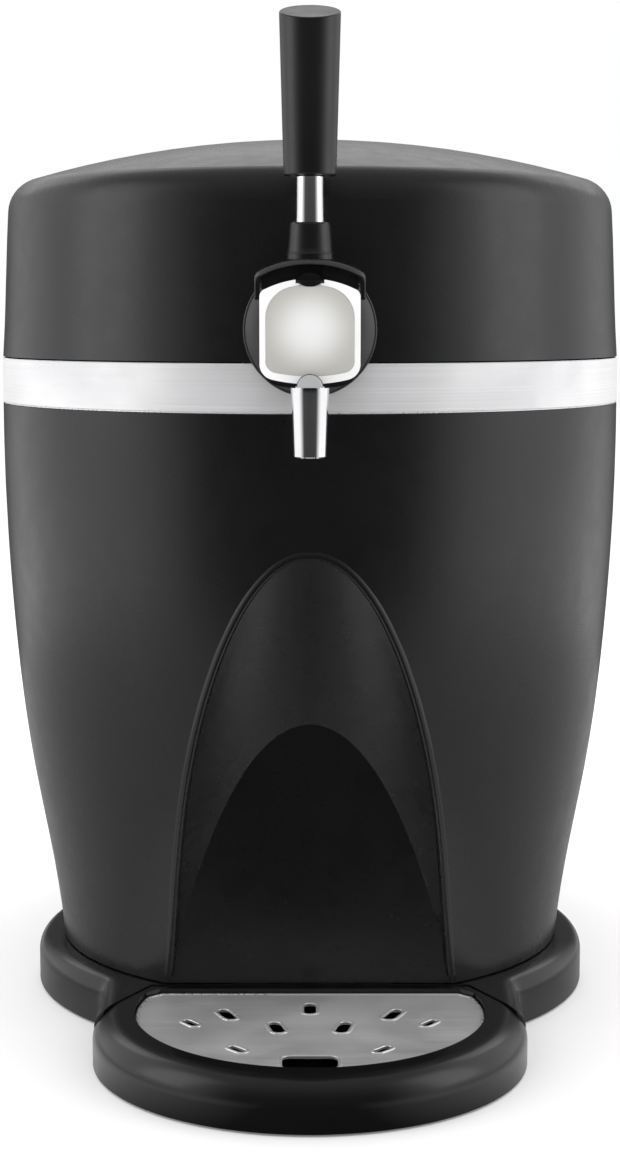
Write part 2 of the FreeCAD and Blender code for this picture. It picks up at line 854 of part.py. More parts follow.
def make_heat_sink():
    half = S.sink_size / 2
    low = S.cooler_height - half
    high = S.cooler_height + half
    fins_start = S.sink_start + S.sink_base
    parts = [block("sink_plate", -half, half, S.sink_start, fins_start, low, high)]
    for x in fin_places():
        parts.append(block("sink_fin_%d" % len(parts), x - S.fin_thickness / 2, x + S.fin_thickness / 2,
                           fins_start - 1, sink_end, low, high))
    for number, (x, z) in enumerate(corner_places(S.fan_screw_place)):
        parts.append(cylinder("sink_post_%d" % number, 3.6, S.fin_length + 1, x, fins_start - 1,
                              S.cooler_height + z, "Y"))
    holes = []
    for number, (x, z) in enumerate(corner_places(S.cooler_screw_place)):
        holes.append(cylinder("sink_hole_%d" % number, screw_radius + 0.2, S.sink_base + 2, x,
                              S.sink_start - 1, S.cooler_height + z, "Y"))
        holes.append(cylinder("sink_access_%d" % number, screw_head_radius + 0.4, S.fin_length + 2, x,
                              fins_start, S.cooler_height + z, "Y"))
    for number, (x, z) in enumerate(corner_places(S.fan_screw_place)):
        holes.append(cylinder("sink_tap_%d" % number, screw_radius, 12, x, sink_end - 11,
                              S.cooler_height + z, "Y"))
    sub_part("heat_sink", cut("heat_sink", fuse("sink_full", parts), holes))


def fin_places():
    """Fins evenly spread across the sink, clear of its edges."""
    count = 13
    pitch = (S.sink_size - S.fin_thickness) / (count - 1)
    return [-S.sink_size / 2 + S.fin_thickness / 2 + pitch * number for number in range(count)]


fan_margin = 3.0
strut_width = 4.0
shaft_radius = as_size(1.5)


def make_fan():
    half = S.fan_size / 2
    low = S.cooler_height - half
    high = S.cooler_height + half
    frame = block("fan_block", -half, half, fan_start, fan_end, low, high)
    bore = cylinder("fan_bore", S.fan_bore_radius, S.fan_depth + 2, 0, fan_start - 1, S.cooler_height, "Y")
    hub = cylinder("fan_motor", S.fan_hub_radius + 1, fan_margin, 0, fan_end - fan_margin,
                   S.cooler_height, "Y")
    parts = [hub]
    for number in range(4):
        strut = doc.addObject("Part::Box", "fan_strut_%d" % number)
        bind(strut, "Length", S.fan_bore_radius + 1)
        bind(strut, "Width", fan_margin)
        bind(strut, "Height", strut_width)
        turn = Rotation(Vector(0, 1, 0), 45 + 90 * number)
        offset = turn.multVec(Vector(0, 0, -strut_width / 2))
        place(strut, offset.x, fan_end - fan_margin, S.cooler_height + offset.z, turn)
        parts.append(strut)
    screws = []
    holes = [cylinder("fan_shaft_bore", shaft_radius + S.pin_play, 5, 0, fan_end - 4, S.cooler_height, "Y")]
    for number, (x, z) in enumerate(corner_places(S.fan_screw_place)):
        holes.append(cylinder("fan_hole_%d" % number, screw_radius + 0.3, S.fan_depth + 2, x,
                              fan_start - 1, S.cooler_height + z, "Y"))
        screws.append(screw("fan_screw_%d" % number, x, fan_end + screw_head_height,
                            S.cooler_height + z, S.fan_depth + 8, "-Y"))
    ring = cut("fan_ring", frame, [bore])
    sub_part("fan_frame", cut("fan_frame", fuse("fan_full", [ring] + parts), holes))
    sub_part("fan_screws", group("fan_screws", screws))
    make_fan_rotor()


blade_count = 7
blade_chord = 21.0
blade_thickness = 1.6
blade_pitch = 52


def make_fan_rotor():
    start = fan_start + fan_margin / 2
    depth = S.fan_depth - 2 * fan_margin
    hub = cylinder("rotor_hub", S.fan_hub_radius, depth, 0, start, S.cooler_height, "Y")
    shaft = cylinder("rotor_shaft", shaft_radius, fan_end - 0.5 - start, 0, start, S.cooler_height, "Y")
    blades = []
    for number in range(blade_count):
        blade = doc.addObject("Part::Box", "rotor_blade_%d" % number)
        inner = S.fan_hub_radius - fan_margin
        bind(blade, "Length", S.fan_blade_radius - inner)
        bind(blade, "Width", blade_chord)
        bind(blade, "Height", blade_thickness)
        pitch = Rotation(Vector(1, 0, 0), blade_pitch)
        spin = Rotation(Vector(0, 1, 0), 360.0 * number / blade_count)
        turn = spin.multiply(pitch)
        corner = turn.multVec(Vector(float(inner), -blade_chord / 2, -blade_thickness / 2))
        place(blade, corner.x, start + depth / 2 + corner.y, S.cooler_height + corner.z, turn)
        blades.append(blade)
    reach = cylinder("rotor_reach", S.fan_blade_radius, depth, 0, start, S.cooler_height, "Y")
    full = fuse("rotor_full", [hub] + blades)
    trimmed = common("rotor_trimmed", full, reach)
    sub_part("fan_rotor", fuse("fan_rotor", [trimmed, shaft]))


# ---------------------------------------------------------------------------------------------
# Rear housing, its cover and the electrics
# ---------------------------------------------------------------------------------------------
housing_bottom = shell_bottom
housing_end = S.cover_start - S.seam
inlet_x = S.rear_half_width - 39
inlet_z = housing_bottom + 25.7
switch_z = inlet_z + 30
cover_screw_x = S.rear_half_width - 20
cover_screw_places = [(x, z) for x in (-cover_screw_x, cover_screw_x)
                      for z in (housing_bottom + 21.7, S.rear_height - 12)]
post_start = S.rear_depth - 44


def housing_outline(inset, front):
    """Plan of the rear housing and its cover, with rounded back corners."""
    half = S.rear_half_width - inset
    back = S.rear_depth - inset
    bend = S.rear_round - inset
    near = bend * (1 - math.sqrt(0.5))
    right = [
        (half, front),
        (half, back - bend),
        Via((half - near, back - near)),
        (half - bend, back),
    ]
    return right + mirror_image(right)


def rear_casing(label):
    """The hollow box behind the barrel, before it is split into housing and cover."""
    outer = plate(label + "_outer", housing_outline(0, 10), housing_bottom, S.rear_height)
    doc.recompute()
    pad = outer.Tip
    on_top = at_height(S.rear_height, lambda middle: middle.y > 11)
    top_edges = [name_of(pad.Shape, edge) for edge in pad.Shape.Edges if on_top(edge)]
    crown = outer.newObject("PartDesign::Fillet", label + "_crown")
    crown.Base = (pad, top_edges)
    bind(crown, "Radius", S.rear_top_round)
    inner = plate(label + "_inner", housing_outline(S.wall, 5), housing_bottom + S.wall,
                  S.rear_height - S.wall)
    return cut(label, outer, [inner])


def make_rear_housing():
    barrel = turned("housing_barrel", barrel_corners(-S.seam, shell_bottom, S.rear_height + 10))
    back = block("housing_back", -FAR, FAR, housing_end, FAR, 0, FAR)
    passage = block("housing_passage", -passage_half + 5, passage_half - 5, passage_start + 4,
                    S.cover_start - 4, 0, housing_bottom + S.wall + 1)
    shell = cut("housing_shell", rear_casing("housing_casing"), [barrel, back, passage])
    posts = []
    pilots = []
    for number, (x, z) in enumerate(cover_screw_places):
        posts.append(cylinder("housing_post_%d" % number, boss_radius, cover_inside - post_start, x,
                              post_start, z, "Y"))
        side = 1 if float(x) > 0 else -1
        near, far = sorted_pair(side * (S.rear_half_width - 1), x)
        posts.append(block("housing_rib_%d" % number, near, far, post_start, housing_end,
                           z - 2, z + 2))
        pilots.append(cylinder("housing_pilot_%d" % number, screw_radius, 14, x,
                               cover_inside - 12, z, "Y"))
    for number in range(-4, 5):
        z = S.cooler_height + 11 * number
        pilots.append(block("housing_vent_%d" % (number + 4), -FAR, FAR, S.barrel_radius + 12,
                            S.cover_start - 8, z - 2, z + 2))
    for number, (x, y) in enumerate(hinge_screw_places()):
        pilots.append(cylinder("housing_hinge_hole_%d" % number, screw_radius, 20, x, y,
                               S.rear_height - 10))
    full = fuse("housing_fused", [shell] + posts)
    sub_part("rear_housing", cut("rear_housing", full, pilots))


def make_rear_cover():
    front = block("cover_front", -FAR, FAR, 0, S.cover_start, 0, FAR)
    cap = cut("cover_cap", rear_casing("cover_casing"), [front])
    spacers = []
    spacer_x = S.rear_half_width - 23
    for x in (-spacer_x, spacer_x):
        for z in (housing_bottom + 7.7, S.rear_height - 28):
            spacers.append(cylinder("cover_spacer_%d" % len(spacers), 5, S.spacer_length + 1, x,
                                    S.rear_depth - 1, z, "Y"))
    cut_start = cover_inside - 5
    cut_end = S.rear_depth + 9
    cuts = []
    for number in range(-6, 7):
        x = 7 * number
        cuts.append(block("cover_slot_%d" % (number + 6), x - 2, x + 2, cut_start, cut_end,
                          S.cooler_height - 41, S.cooler_height + 41))
    screws = []
    for number, (x, z) in enumerate(cover_screw_places):
        cuts.append(cylinder("cover_hole_%d" % number, screw_radius + 0.2, 20, x, cut_start, z, "Y"))
        screws.append(screw("cover_screw_%d" % number, x, S.rear_depth + screw_head_height,
                            z, 11, "-Y"))
    cuts.append(block("cover_inlet_hole", inlet_x - inlet_half_width - S.slack,
                      inlet_x + inlet_half_width + S.slack, cut_start, cut_end,
                      inlet_z - inlet_half_height - S.slack, inlet_z + inlet_half_height + S.slack))
    cuts.append(block("cover_switch_hole", inlet_x - switch_half_width - 0.3,
                      inlet_x + switch_half_width + 0.3, cut_start, cut_end,
                      switch_z - switch_half_height - 0.3, switch_z + switch_half_height + 0.3))
    for number, (x, z) in enumerate(board_post_places()):
        cuts.append(cylinder("cover_post_hole_%d" % number, screw_radius, 20, x, cut_start, z, "Y"))
    sub_part("rear_cover", cut("rear_cover", fuse("cover_full", [cap] + spacers), cuts))
    sub_part("cover_screws", group("cover_screws", screws))


# Control board on posts in the rear cover
board_x0 = 8 - cover_screw_x
board_x1 = inlet_x - 18
board_z0 = housing_bottom + 17.7
board_z1 = board_z0 + 54
board_y = cover_inside - 21.5
board_thickness = as_size(1.6)
inlet_half_width = as_size(12.6)
inlet_half_height = as_size(9.6)
socket_half_width = as_size(9.0)
socket_half_height = as_size(5.5)
switch_half_width = as_size(9.7)
switch_half_height = as_size(6.7)
rocker_half_height = as_size(4.6)
rocker_pin_radius = as_size(1.0)


def board_post_places():
    return [(x, z) for x in (board_x0 + 4, board_x1 - 4) for z in (board_z0 + 4, board_z1 - 4)]


def make_board():
    board = block("board_raw", board_x0, board_x1, board_y, board_y + board_thickness,
                  board_z0, board_z1)
    holes = []
    posts = []
    back = board_y + board_thickness
    for number, (x, z) in enumerate(board_post_places()):
        holes.append(cylinder("board_hole_%d" % number, screw_radius + 0.2, 4, x, board_y - 1, z, "Y"))
        column = cylinder("board_column_%d" % number, 3.5, cover_inside - back, x, back, z, "Y")
        pin = cylinder("board_pin_%d" % number, screw_radius, board_thickness + 1.2, x,
                       board_y - 1, z, "Y")
        peg = cylinder("board_peg_%d" % number, screw_radius, 2.4, x, cover_inside - 0.2, z, "Y")
        posts.append(fuse("board_post_%d" % number, [column, pin, peg]))
    sub_part("circuit_board", cut("circuit_board", board, holes))
    sub_part("board_posts", group("board_posts", posts))
    pieces = [
        block("part_transformer", board_x0 + 9, board_x1 - 30, board_y - 22, board_y,
              board_z0 + 14, board_z0 + 40),
        cylinder("part_capacitor_1", 6, 18, board_x1 - 20, board_y, board_z0 + 14, "-Y"),
        cylinder("part_capacitor_2", 6, 18, board_x1 - 20, board_y, board_z0 + 30, "-Y"),
        cylinder("part_capacitor_3", 4, 12, board_x1 - 8, board_y, board_z0 + 24, "-Y"),
        block("part_regulator", board_x1 - 28, board_x1 - 12, board_y - 9, board_y,
              board_z1 - 13, board_z1 - 8),
    ]
    sub_part("board_components", group("board_components", pieces))


def make_inlet():
    back = S.rear_depth
    lip = 2.4
    shell = block("inlet_shell", inlet_x - inlet_half_width, inlet_x + inlet_half_width,
                  back - 20, back, inlet_z - inlet_half_height, inlet_z + inlet_half_height)
    flange = block("inlet_flange", inlet_x - inlet_half_width - lip, inlet_x + inlet_half_width + lip,
                   back, back + 1.6, inlet_z - inlet_half_height - lip, inlet_z + inlet_half_height + lip)
    cavity = block("inlet_cavity", inlet_x - socket_half_width, inlet_x + socket_half_width,
                   back - 16, back + 5, inlet_z - socket_half_height, inlet_z + socket_half_height)
    sub_part("power_inlet", cut("power_inlet", fuse("inlet_body", [shell, flange]), [cavity]))
    pins = []
    for number, side in enumerate((-1, 1)):
        pins.append(cylinder("inlet_pin_%d" % number, 1.2, 11, inlet_x + side * 4.3,
                             back - 16, inlet_z, "Y"))
    sub_part("inlet_pins", group("inlet_pins", pins))


def make_switch():
    """Rocker switch: a frame in the rear cover and a rocker that tips about an upright pin."""
    back = S.rear_depth
    pin_y = back - 4
    lip = 1.8
    shell = block("switch_shell", inlet_x - switch_half_width, inlet_x + switch_half_width,
                  back - 16, back, switch_z - switch_half_height, switch_z + switch_half_height)
    flange = block("switch_flange", inlet_x - switch_half_width - lip, inlet_x + switch_half_width + lip,
                   back, back + 1.2, switch_z - switch_half_height - lip,
                   switch_z + switch_half_height + lip)
    hole_half = rocker_half_height + S.slack
    cavity = block("switch_cavity", inlet_x - switch_half_width + 1.3, inlet_x + switch_half_width - 1.3,
                   back - 13, back + 5, switch_z - hole_half, switch_z + hole_half)
    pin = cylinder("switch_pin", rocker_pin_radius, 2 * hole_half, inlet_x, pin_y, switch_z - hole_half)
    hollow = cut("switch_open", fuse("switch_body", [shell, flange]), [cavity])
    sub_part("switch_frame", fuse("switch_frame", [hollow, pin]))
    corners = [
        (inlet_x - 6.0, pin_y - 2.4),
        (inlet_x + 6.0, pin_y - 2.4),
        (inlet_x + 6.2, back + 2.6),
        (inlet_x, back + 1.0),
        (inlet_x - 6.2, back + 1.2),
    ]
    rocker = plate("rocker_profile", corners, switch_z - rocker_half_height,
                   switch_z + rocker_half_height)
    bore = cylinder("rocker_bore", rocker_pin_radius + S.pin_play, 20, inlet_x, pin_y, switch_z - 10)
    sub_part("switch_rocker", cut("switch_rocker", rocker, [bore]))


# ---------------------------------------------------------------------------------------------
# Lid hinge
# ---------------------------------------------------------------------------------------------
bracket_half = S.hinge_ear_place + S.hinge_ear_width / 2 + 4
bracket_front = S.hinge_offset - 11
bracket_back = S.hinge_offset + 26
bracket_top = S.rear_height + 3
leaf_screw_xs = (-24, 0, 24)
leaf_screw_level = lid_bottom + 18


def hinge_screw_places():
    return [(x, S.hinge_offset + 19) for x in (-S.hinge_ear_place, as_size(0), S.hinge_ear_place)]


def ear_outline(level):
    """Side view of a hinge ear: a foot, straight sides and a round top about the pin."""
    y = S.hinge_offset
    z = S.hinge_height
    r = S.hinge_radius
    return [(y - r, level), (y + r, level), (y + r, z), Via((y, z + r)), (y - r, z)]


def make_hinge():
    foot = block("bracket_foot", -bracket_half, bracket_half, bracket_front, bracket_back,
                 S.rear_height, bracket_top)
    ears = []
    for side in (-1, 1):
        centre = side * S.hinge_ear_place
        ears.append(sideways("bracket_ear_%d" % (side + 1), ear_outline(bracket_top - 1),
                             centre - S.hinge_ear_width / 2, centre + S.hinge_ear_width / 2))
    holes = [cylinder("bracket_bore", S.hinge_pin_radius, 2 * bracket_half + 20,
                      -bracket_half - 10, S.hinge_offset, S.hinge_height, "X")]
    screws = []
    for number, (x, y) in enumerate(hinge_screw_places()):
        holes.append(cylinder("bracket_hole_%d" % number, screw_radius + 0.2, 10, x, y, S.rear_height - 2))
        item = screw("hinge_screw_%d" % number, x, y, bracket_top + screw_head_height, 8, "-Z")
        screws.append(item)
    sub_part("hinge_bracket", cut("hinge_bracket", fuse("bracket_full", [foot] + ears), holes))
    sub_part("hinge_screws", group("hinge_screws", screws))
    pin_half = S.hinge_ear_place + S.hinge_ear_width / 2 + S.hinge_arm_width + 2
    sub_part("hinge_pin", cylinder("hinge_pin", S.hinge_pin_radius, 2 * pin_half, -pin_half,
                                   S.hinge_offset, S.hinge_height, "X"))


def make_lid_hinge(lid_outer):
    """Hinge leaf on the back of the lid with two arms that hold the pin outside the ears."""
    y = S.hinge_offset
    z = S.hinge_height
    r = S.hinge_radius
    arm_start = S.hinge_ear_place + S.hinge_ear_width / 2 + S.slack
    leaf_low = leaf_screw_level - 12
    leaf_high = leaf_screw_level + 12
    leaf_back = S.barrel_radius + 4
    leaf_half = arm_start + S.hinge_arm_width
    leaf = block("leaf_raw", -leaf_half, leaf_half, S.lid_wall_radius - 23, leaf_back, leaf_low, leaf_high)
    profile = [
        (y - r, z),
        Via((y, z - r)),
        (y + r, z),
        (y + r - 0.5, z + 6),
        (leaf_back, leaf_high),
        (S.barrel_radius - 6, leaf_high),
        (S.barrel_radius - 6, leaf_low),
        (S.barrel_radius + 2.6, leaf_low - 4),
    ]
    arms = []
    for side in (-1, 1):
        near = side * arm_start
        far = side * (arm_start + S.hinge_arm_width)
        low, high = (near, far) if side > 0 else (far, near)
        arms.append(sideways("leaf_arm_%d" % (side + 1), profile, low, high))
    bore = cylinder("leaf_bore", S.hinge_pin_radius + S.pin_play, 4 * leaf_half, -2 * leaf_half, y, z, "X")
    holes = []
    screws = []
    for number, x in enumerate(leaf_screw_xs):
        holes.append(cylinder("leaf_hole_%d" % number, screw_radius + 0.2, 40, x,
                              S.barrel_radius - 23, leaf_screw_level, "Y"))
        screws.append(screw("leaf_screw_%d" % number, x, leaf_back + screw_head_height,
                            leaf_screw_level, 9, "-Y"))
    hinge = cut("lid_hinge", fuse("leaf_full", [leaf] + arms), [lid_outer, bore] + holes)
    sub_part("lid_hinge", hinge)
    sub_part("lid_hinge_screws", group("lid_hinge_screws", screws))


# ---------------------------------------------------------------------------------------------
# Lid
# ---------------------------------------------------------------------------------------------
notch_radius = S.neck_radius + 3.0


def lid_corners(inset):
    """Profile of the lid moved inwards: flared foot, wall, shoulder and shallow dome.

    The shoulder's arc leaves the wall without a crease, and meets the dome in a soft edge.
    """
    foot = S.barrel_radius - 0.2 - inset
    wall_top = S.lid_wall_radius - inset
    edge = S.lid_edge_radius - inset / 2
    edge_height = S.lid_edge_height - inset
    crown = S.lid_crown - inset
    rise = crown - edge_height
    ball = (edge * edge + rise * rise) / (2 * rise)
    shoulder = Via((wall_top - 0.298 * (wall_top - edge),
                    S.lid_wall_top + 0.607 * (edge_height - S.lid_wall_top)))
    return [
        (foot, lid_bottom),
        Via((wall_top + 1.85, lid_bottom + 24.0), (wall_top + 1.05, lid_bottom + 43.5)),
        (wall_top, S.lid_wall_top),
        shoulder,
        (edge, edge_height),
        Via((edge / 2, crown - ball + chord(ball, edge / 2))),
        (0, crown),
        (0, lid_bottom),
    ]


def notch(label, margin):
    """The opening in the lid's front that clears the tap's neck."""
    size = notch_radius + margin
    inside = S.barrel_radius - 38
    slot = block(label + "_slot", -size, size, -FAR, -inside, lid_bottom - 10, S.tap_height)
    arch = cylinder(label + "_arch", size, FAR, 0, -inside, S.tap_height, "-Y")
    return fuse(label, [slot, arch])


lid_boss_ring = S.lid_wall_radius - S.lid_boss_inset
lid_boss_places = [(lid_boss_ring * cosine(angle), lid_boss_ring * sine(angle))
                   for angle in (25, 155, 205, 335)]
liner_inner = liner_radius + S.liner_lip + 1.0
liner_under = lid_bottom + 0.6
liner_roof = S.rim_height + S.headroom
tap_bay_half = as_size(26)
tap_bay_top = S.tap_height + 33.8
liner_wall = S.wall - 0.5


def lid_cavity(label, margin, floor):
    """The room inside the lid over the keg and behind the tap, larger by a margin."""
    round_room = cylinder(label + "_round", liner_inner + margin, liner_roof + margin - floor,
                          0, 0, floor)
    bay = block(label + "_bay", -tap_bay_half - margin, tap_bay_half + margin, -FAR, 0,
                floor, tap_bay_top + margin)
    return fuse(label, [round_room, bay])


def make_lid():
    outer = turned("lid_outer", lid_corners(as_size(0)))
    inner = turned("lid_inner", lid_corners(S.wall))
    shell = cut("lid_hollow", outer, [inner, notch("lid_notch", 0)])
    bosses = []
    pilots = []
    for number, (x, y) in enumerate(lid_boss_places):
        column = cylinder("lid_column_%d" % number, boss_radius, FAR, x, y, liner_under + S.wall)
        bosses.append(common("lid_boss_%d" % number, column, outer))
        pilots.append(cylinder("lid_pilot_%d" % number, screw_radius, 16, x, y, liner_under))
    for number, x in enumerate(leaf_screw_xs):
        pilots.append(cylinder("lid_leaf_pilot_%d" % number, screw_radius, 30, x,
                               S.barrel_radius - 18, leaf_screw_level, "Y"))
    sub_part("lid_shell", cut("lid_shell", fuse("lid_fused", [shell] + bosses), pilots))
    make_lid_liner()
    make_lid_foam()
    make_lid_hinge(outer)


def make_lid_liner():
    bulk = lid_cavity("liner_bulk", liner_wall, liner_under)
    clip = turned("liner_clip", lid_corners(S.wall + S.slack))
    flange = cylinder("liner_flange", S.barrel_radius, liner_wall, 0, 0, liner_under)
    walls = common("liner_walls", fuse("liner_solid", [bulk, flange]), clip)
    room = lid_cavity("liner_room", 0, liner_under - 3)
    holes = [room, notch("liner_notch", 1)]
    screws = []
    for number, (x, y) in enumerate(lid_boss_places):
        holes.append(cylinder("liner_hole_%d" % number, screw_radius + 0.2, 10, x, y, liner_under - 2))
        screws.append(screw("lid_screw_%d" % number, x, y, liner_under - screw_head_height, 12))
    sub_part("lid_liner", cut("lid_liner", walls, holes))
    sub_part("lid_screws", group("lid_screws", screws))
    gasket_inner = liner_inner + 3
    ring = turned("gasket_ring", [
        (gasket_inner, S.rim_height + 0.3),
        (gasket_inner + S.gasket_width, S.rim_height + 0.3),
        (gasket_inner + S.gasket_width, liner_under),
        (gasket_inner, liner_under)])
    gap = block("gasket_gap", -tap_bay_half - 2, tap_bay_half + 2, -FAR, 0, 0, FAR)
    sub_part("lid_gasket", cut("lid_gasket", ring, [gap]))


def make_lid_foam():
    bulk = turned("lid_foam_bulk", lid_corners(S.wall + S.slack))
    under = block("lid_foam_under", -FAR, FAR, -FAR, FAR, 0, liner_under + liner_wall + S.slack)
    room = lid_cavity("lid_foam_room", liner_wall + S.slack, liner_under - 3)
    cuts = [under, room, notch("lid_foam_notch", 2)]
    for number, (x, y) in enumerate(lid_boss_places):
        cuts.append(cylinder("lid_foam_hole_%d" % number, boss_radius + S.slack, FAR, x, y, liner_under))
    for number, x in enumerate(leaf_screw_xs):
        cuts.append(cylinder("lid_foam_screw_%d" % number, 3, 30, x, S.barrel_radius - 23,
                             leaf_screw_level, "Y"))
    sub_part("lid_insulation", cut("lid_insulation", bulk, cuts))


# ---------------------------------------------------------------------------------------------
# Tap
# ---------------------------------------------------------------------------------------------
post_front = S.barrel_radius - 4.5
post_rear = S.barrel_radius - 18.5
neck_front = S.barrel_radius + 1.2
hose_bend = as_size(10)
coupler_bend = as_size(9)
coupler_place = S.barrel_radius - 30
coupler_top = S.rim_height + 8


def hose_path():
    """Centre line of the beer hose: up the spout, back through the tap and down to the coupler."""
    spout_y = -float(S.hose_place)
    level = float(S.hose_level)
    bend = float(hose_bend)
    drop = float(coupler_bend)
    end_y = -float(coupler_place)
    corner = math.sqrt(0.5)
    low = Vector(0, spout_y, float(S.spout_bottom) + 2)
    turn_start = Vector(0, spout_y, level - bend)
    turn_middle = Vector(0, spout_y + bend - bend * corner, level - bend + bend * corner)
    turn_end = Vector(0, spout_y + bend, level)
    back_start = Vector(0, end_y - drop, level)
    back_middle = Vector(0, end_y - drop + drop * corner, level - drop + drop * corner)
    back_end = Vector(0, end_y, level - drop)
    finish = Vector(0, end_y, float(coupler_top))
    edges = [
        Part.LineSegment(low, turn_start).toShape(),
        Part.Arc(turn_start, turn_middle, turn_end).toShape(),
        Part.LineSegment(turn_end, back_start).toShape(),
        Part.Arc(back_start, back_middle, back_end).toShape(),
    ]
    if back_end.z - finish.z > 0.01:
        edges.append(Part.LineSegment(back_end, finish).toShape())
    return Part.Wire(edges)


def hose_sweep(label, radius):
    """A round rod along the hose's centre line."""
    path = hose_path()
    start = path.Vertexes[0].Point
    ring = Part.Wire(Part.Circle(start, Vector(0, 0, 1), float(radius)).toShape())
    feature = doc.addObject("Part::Feature", label)
    feature.Shape = path.makePipeShell([ring], True, False)
    return feature


def make_tap_mount():
    foot = block("post_foot", -S.neck_radius, S.neck_radius, -post_front, -post_rear,
                 S.rim_height, S.tap_height)
    neck = cylinder("post_neck", S.neck_radius, neck_front - post_rear, 0, -post_rear, S.tap_height, "-Y")
    channel = hose_sweep("post_channel", S.hose_radius + S.slack)
    under_foot = block("post_under", -30, 30, -FAR, 0, 0, S.rim_height)
    over_band = block("post_over_band", -30, 30, -FAR, -post_front, 0, lid_bottom)
    post = cut("tap_post", fuse("post_full", [foot, neck]), [channel, under_foot, over_band])
    sub_part("tap_post", post)
    radius = S.tap_disc_radius
    front = S.tap_disc_front
    dome = turned("disc_dome", [
        (0, post_rear),
        (radius, post_rear),
        (radius, front - 7.0),
        Via((radius - 4.5, front - 3.2)),
        (radius - 13, front),
        (0, front)], 0, 0, S.tap_height, "-Y")
    hug = cylinder("disc_hug", S.barrel_radius + 0.8, FAR)
    seat = cylinder("disc_seat", S.neck_radius + 0.1, neck_front, 0, 0, S.tap_height, "-Y")
    passage = hose_sweep("disc_passage", S.hose_radius + S.slack)
    sub_part("tap_disc", cut("tap_disc", dome, [hug, seat, passage]))
    make_tap_body()


def make_tap_body():
    raw = block("tap_raw", -S.tap_body_half, S.tap_body_half, -S.tap_back_front, -S.tap_disc_front,
                S.tap_body_bottom, S.tap_body_top)
    smooth = rounded("tap_smooth", raw, 3.0, lambda edge: edge.BoundBox.YLength > 10)
    channel = hose_sweep("tap_channel", S.hose_radius + S.slack)
    pin_bore = cylinder("tap_pin_bore", S.pivot_pin_radius, 2 * FAR, -FAR, -S.lever_place,
                        S.pivot_height, "X")
    slot = block("tap_slot", -6.4, 6.4, -S.hose_place, -S.tap_disc_front + 1,
                 pinch_bottom - S.slack, pinch_top + S.slack)
    sub_part("tap_body", cut("tap_body", fuse("tap_capped", [smooth, make_tap_cap()]),
                             [channel, pin_bore, slot]))
    bar_front = S.hose_place - S.hose_radius - 0.3
    bar = block("pinch_bar_raw", -6, 6, -bar_front, -bar_front + 6, pinch_bottom, pinch_top)
    sub_part("pinch_bar", bar)
    make_tap_face()


pinch_bottom = S.pivot_height + S.pivot_pin_radius + 1.4
pinch_top = pinch_bottom + 4
hood_step = S.hood_radius - S.hood_drop
cap_play = 0.8
cap_front_angle = 4
cap_back_angle = 6


def make_tap_cap():
    """Black top of the tap body that fills the lever's hood from below, clear of it all round."""
    right = [(S.hood_half_width - S.hood_wall - cap_play, hood_step + S.hood_wall + 2 * cap_play)]
    right += hood_corner(S.hood_wall + cap_play)
    corners = right + [arch_top(S.hood_half_width / 2, S.hood_radius - S.hood_wall - cap_play)]
    return swung("tap_cap", corners + mirror_image(right), cap_front_angle, cap_back_angle)


window_drop = 21.4
window_radius = 4.9
window_hole_radius = 5.1
tab_half = 5.2


def face_outline(margin):
    """Front view of the bezel: straight sides, soft corners, bowed top and bottom."""
    half = S.bezel_half_width + margin
    z = S.tap_height
    right = [
        (half, z - 12.0),
        (half, z + 12.5),
        Via((half - 0.6, z + 14.4 + margin * 0.5)),
        (half - 2.0, z + 15.4 + margin),
    ]
    low = (half - 4.8, z - 18.5 - margin)
    corner = Via((half - 1.2, z - 16.3 - margin * 0.7))
    left = mirror_image(right)
    return right + [Via((0, z + 19.3 + margin))] + left + [mirror_via(corner), mirror_point(low),
                                                           Via((0, z - 20.1 - margin)), low, corner]


def mirror_point(point):
    return (-as_size(point[0]), point[1])


def mirror_via(via):
    return Via(*[mirror_point(point) for point in via.points])


def inset_outline(margin):
    """Front view of the satin face inside the bezel, with its larger upper corners."""
    half = S.bezel_half_width - 2.4 + margin
    z = S.tap_height
    right = [
        (half, z - 10.5),
        (half, z + 4.5),
        Via((half - 3.6, z + 13.0 + margin)),
        (half - 10.0, z + 16.2 + margin),
    ]
    low = (half - 4.0, z - 15.8 - margin)
    corner = Via((half - 0.9, z - 14.2 - margin * 0.7))
    left = mirror_image(right)
    return right + [Via((0, z + 17.0 + margin))] + left + [mirror_via(corner), mirror_point(low),
                                                           Via((0, z - 17.0 - margin)), low, corner]


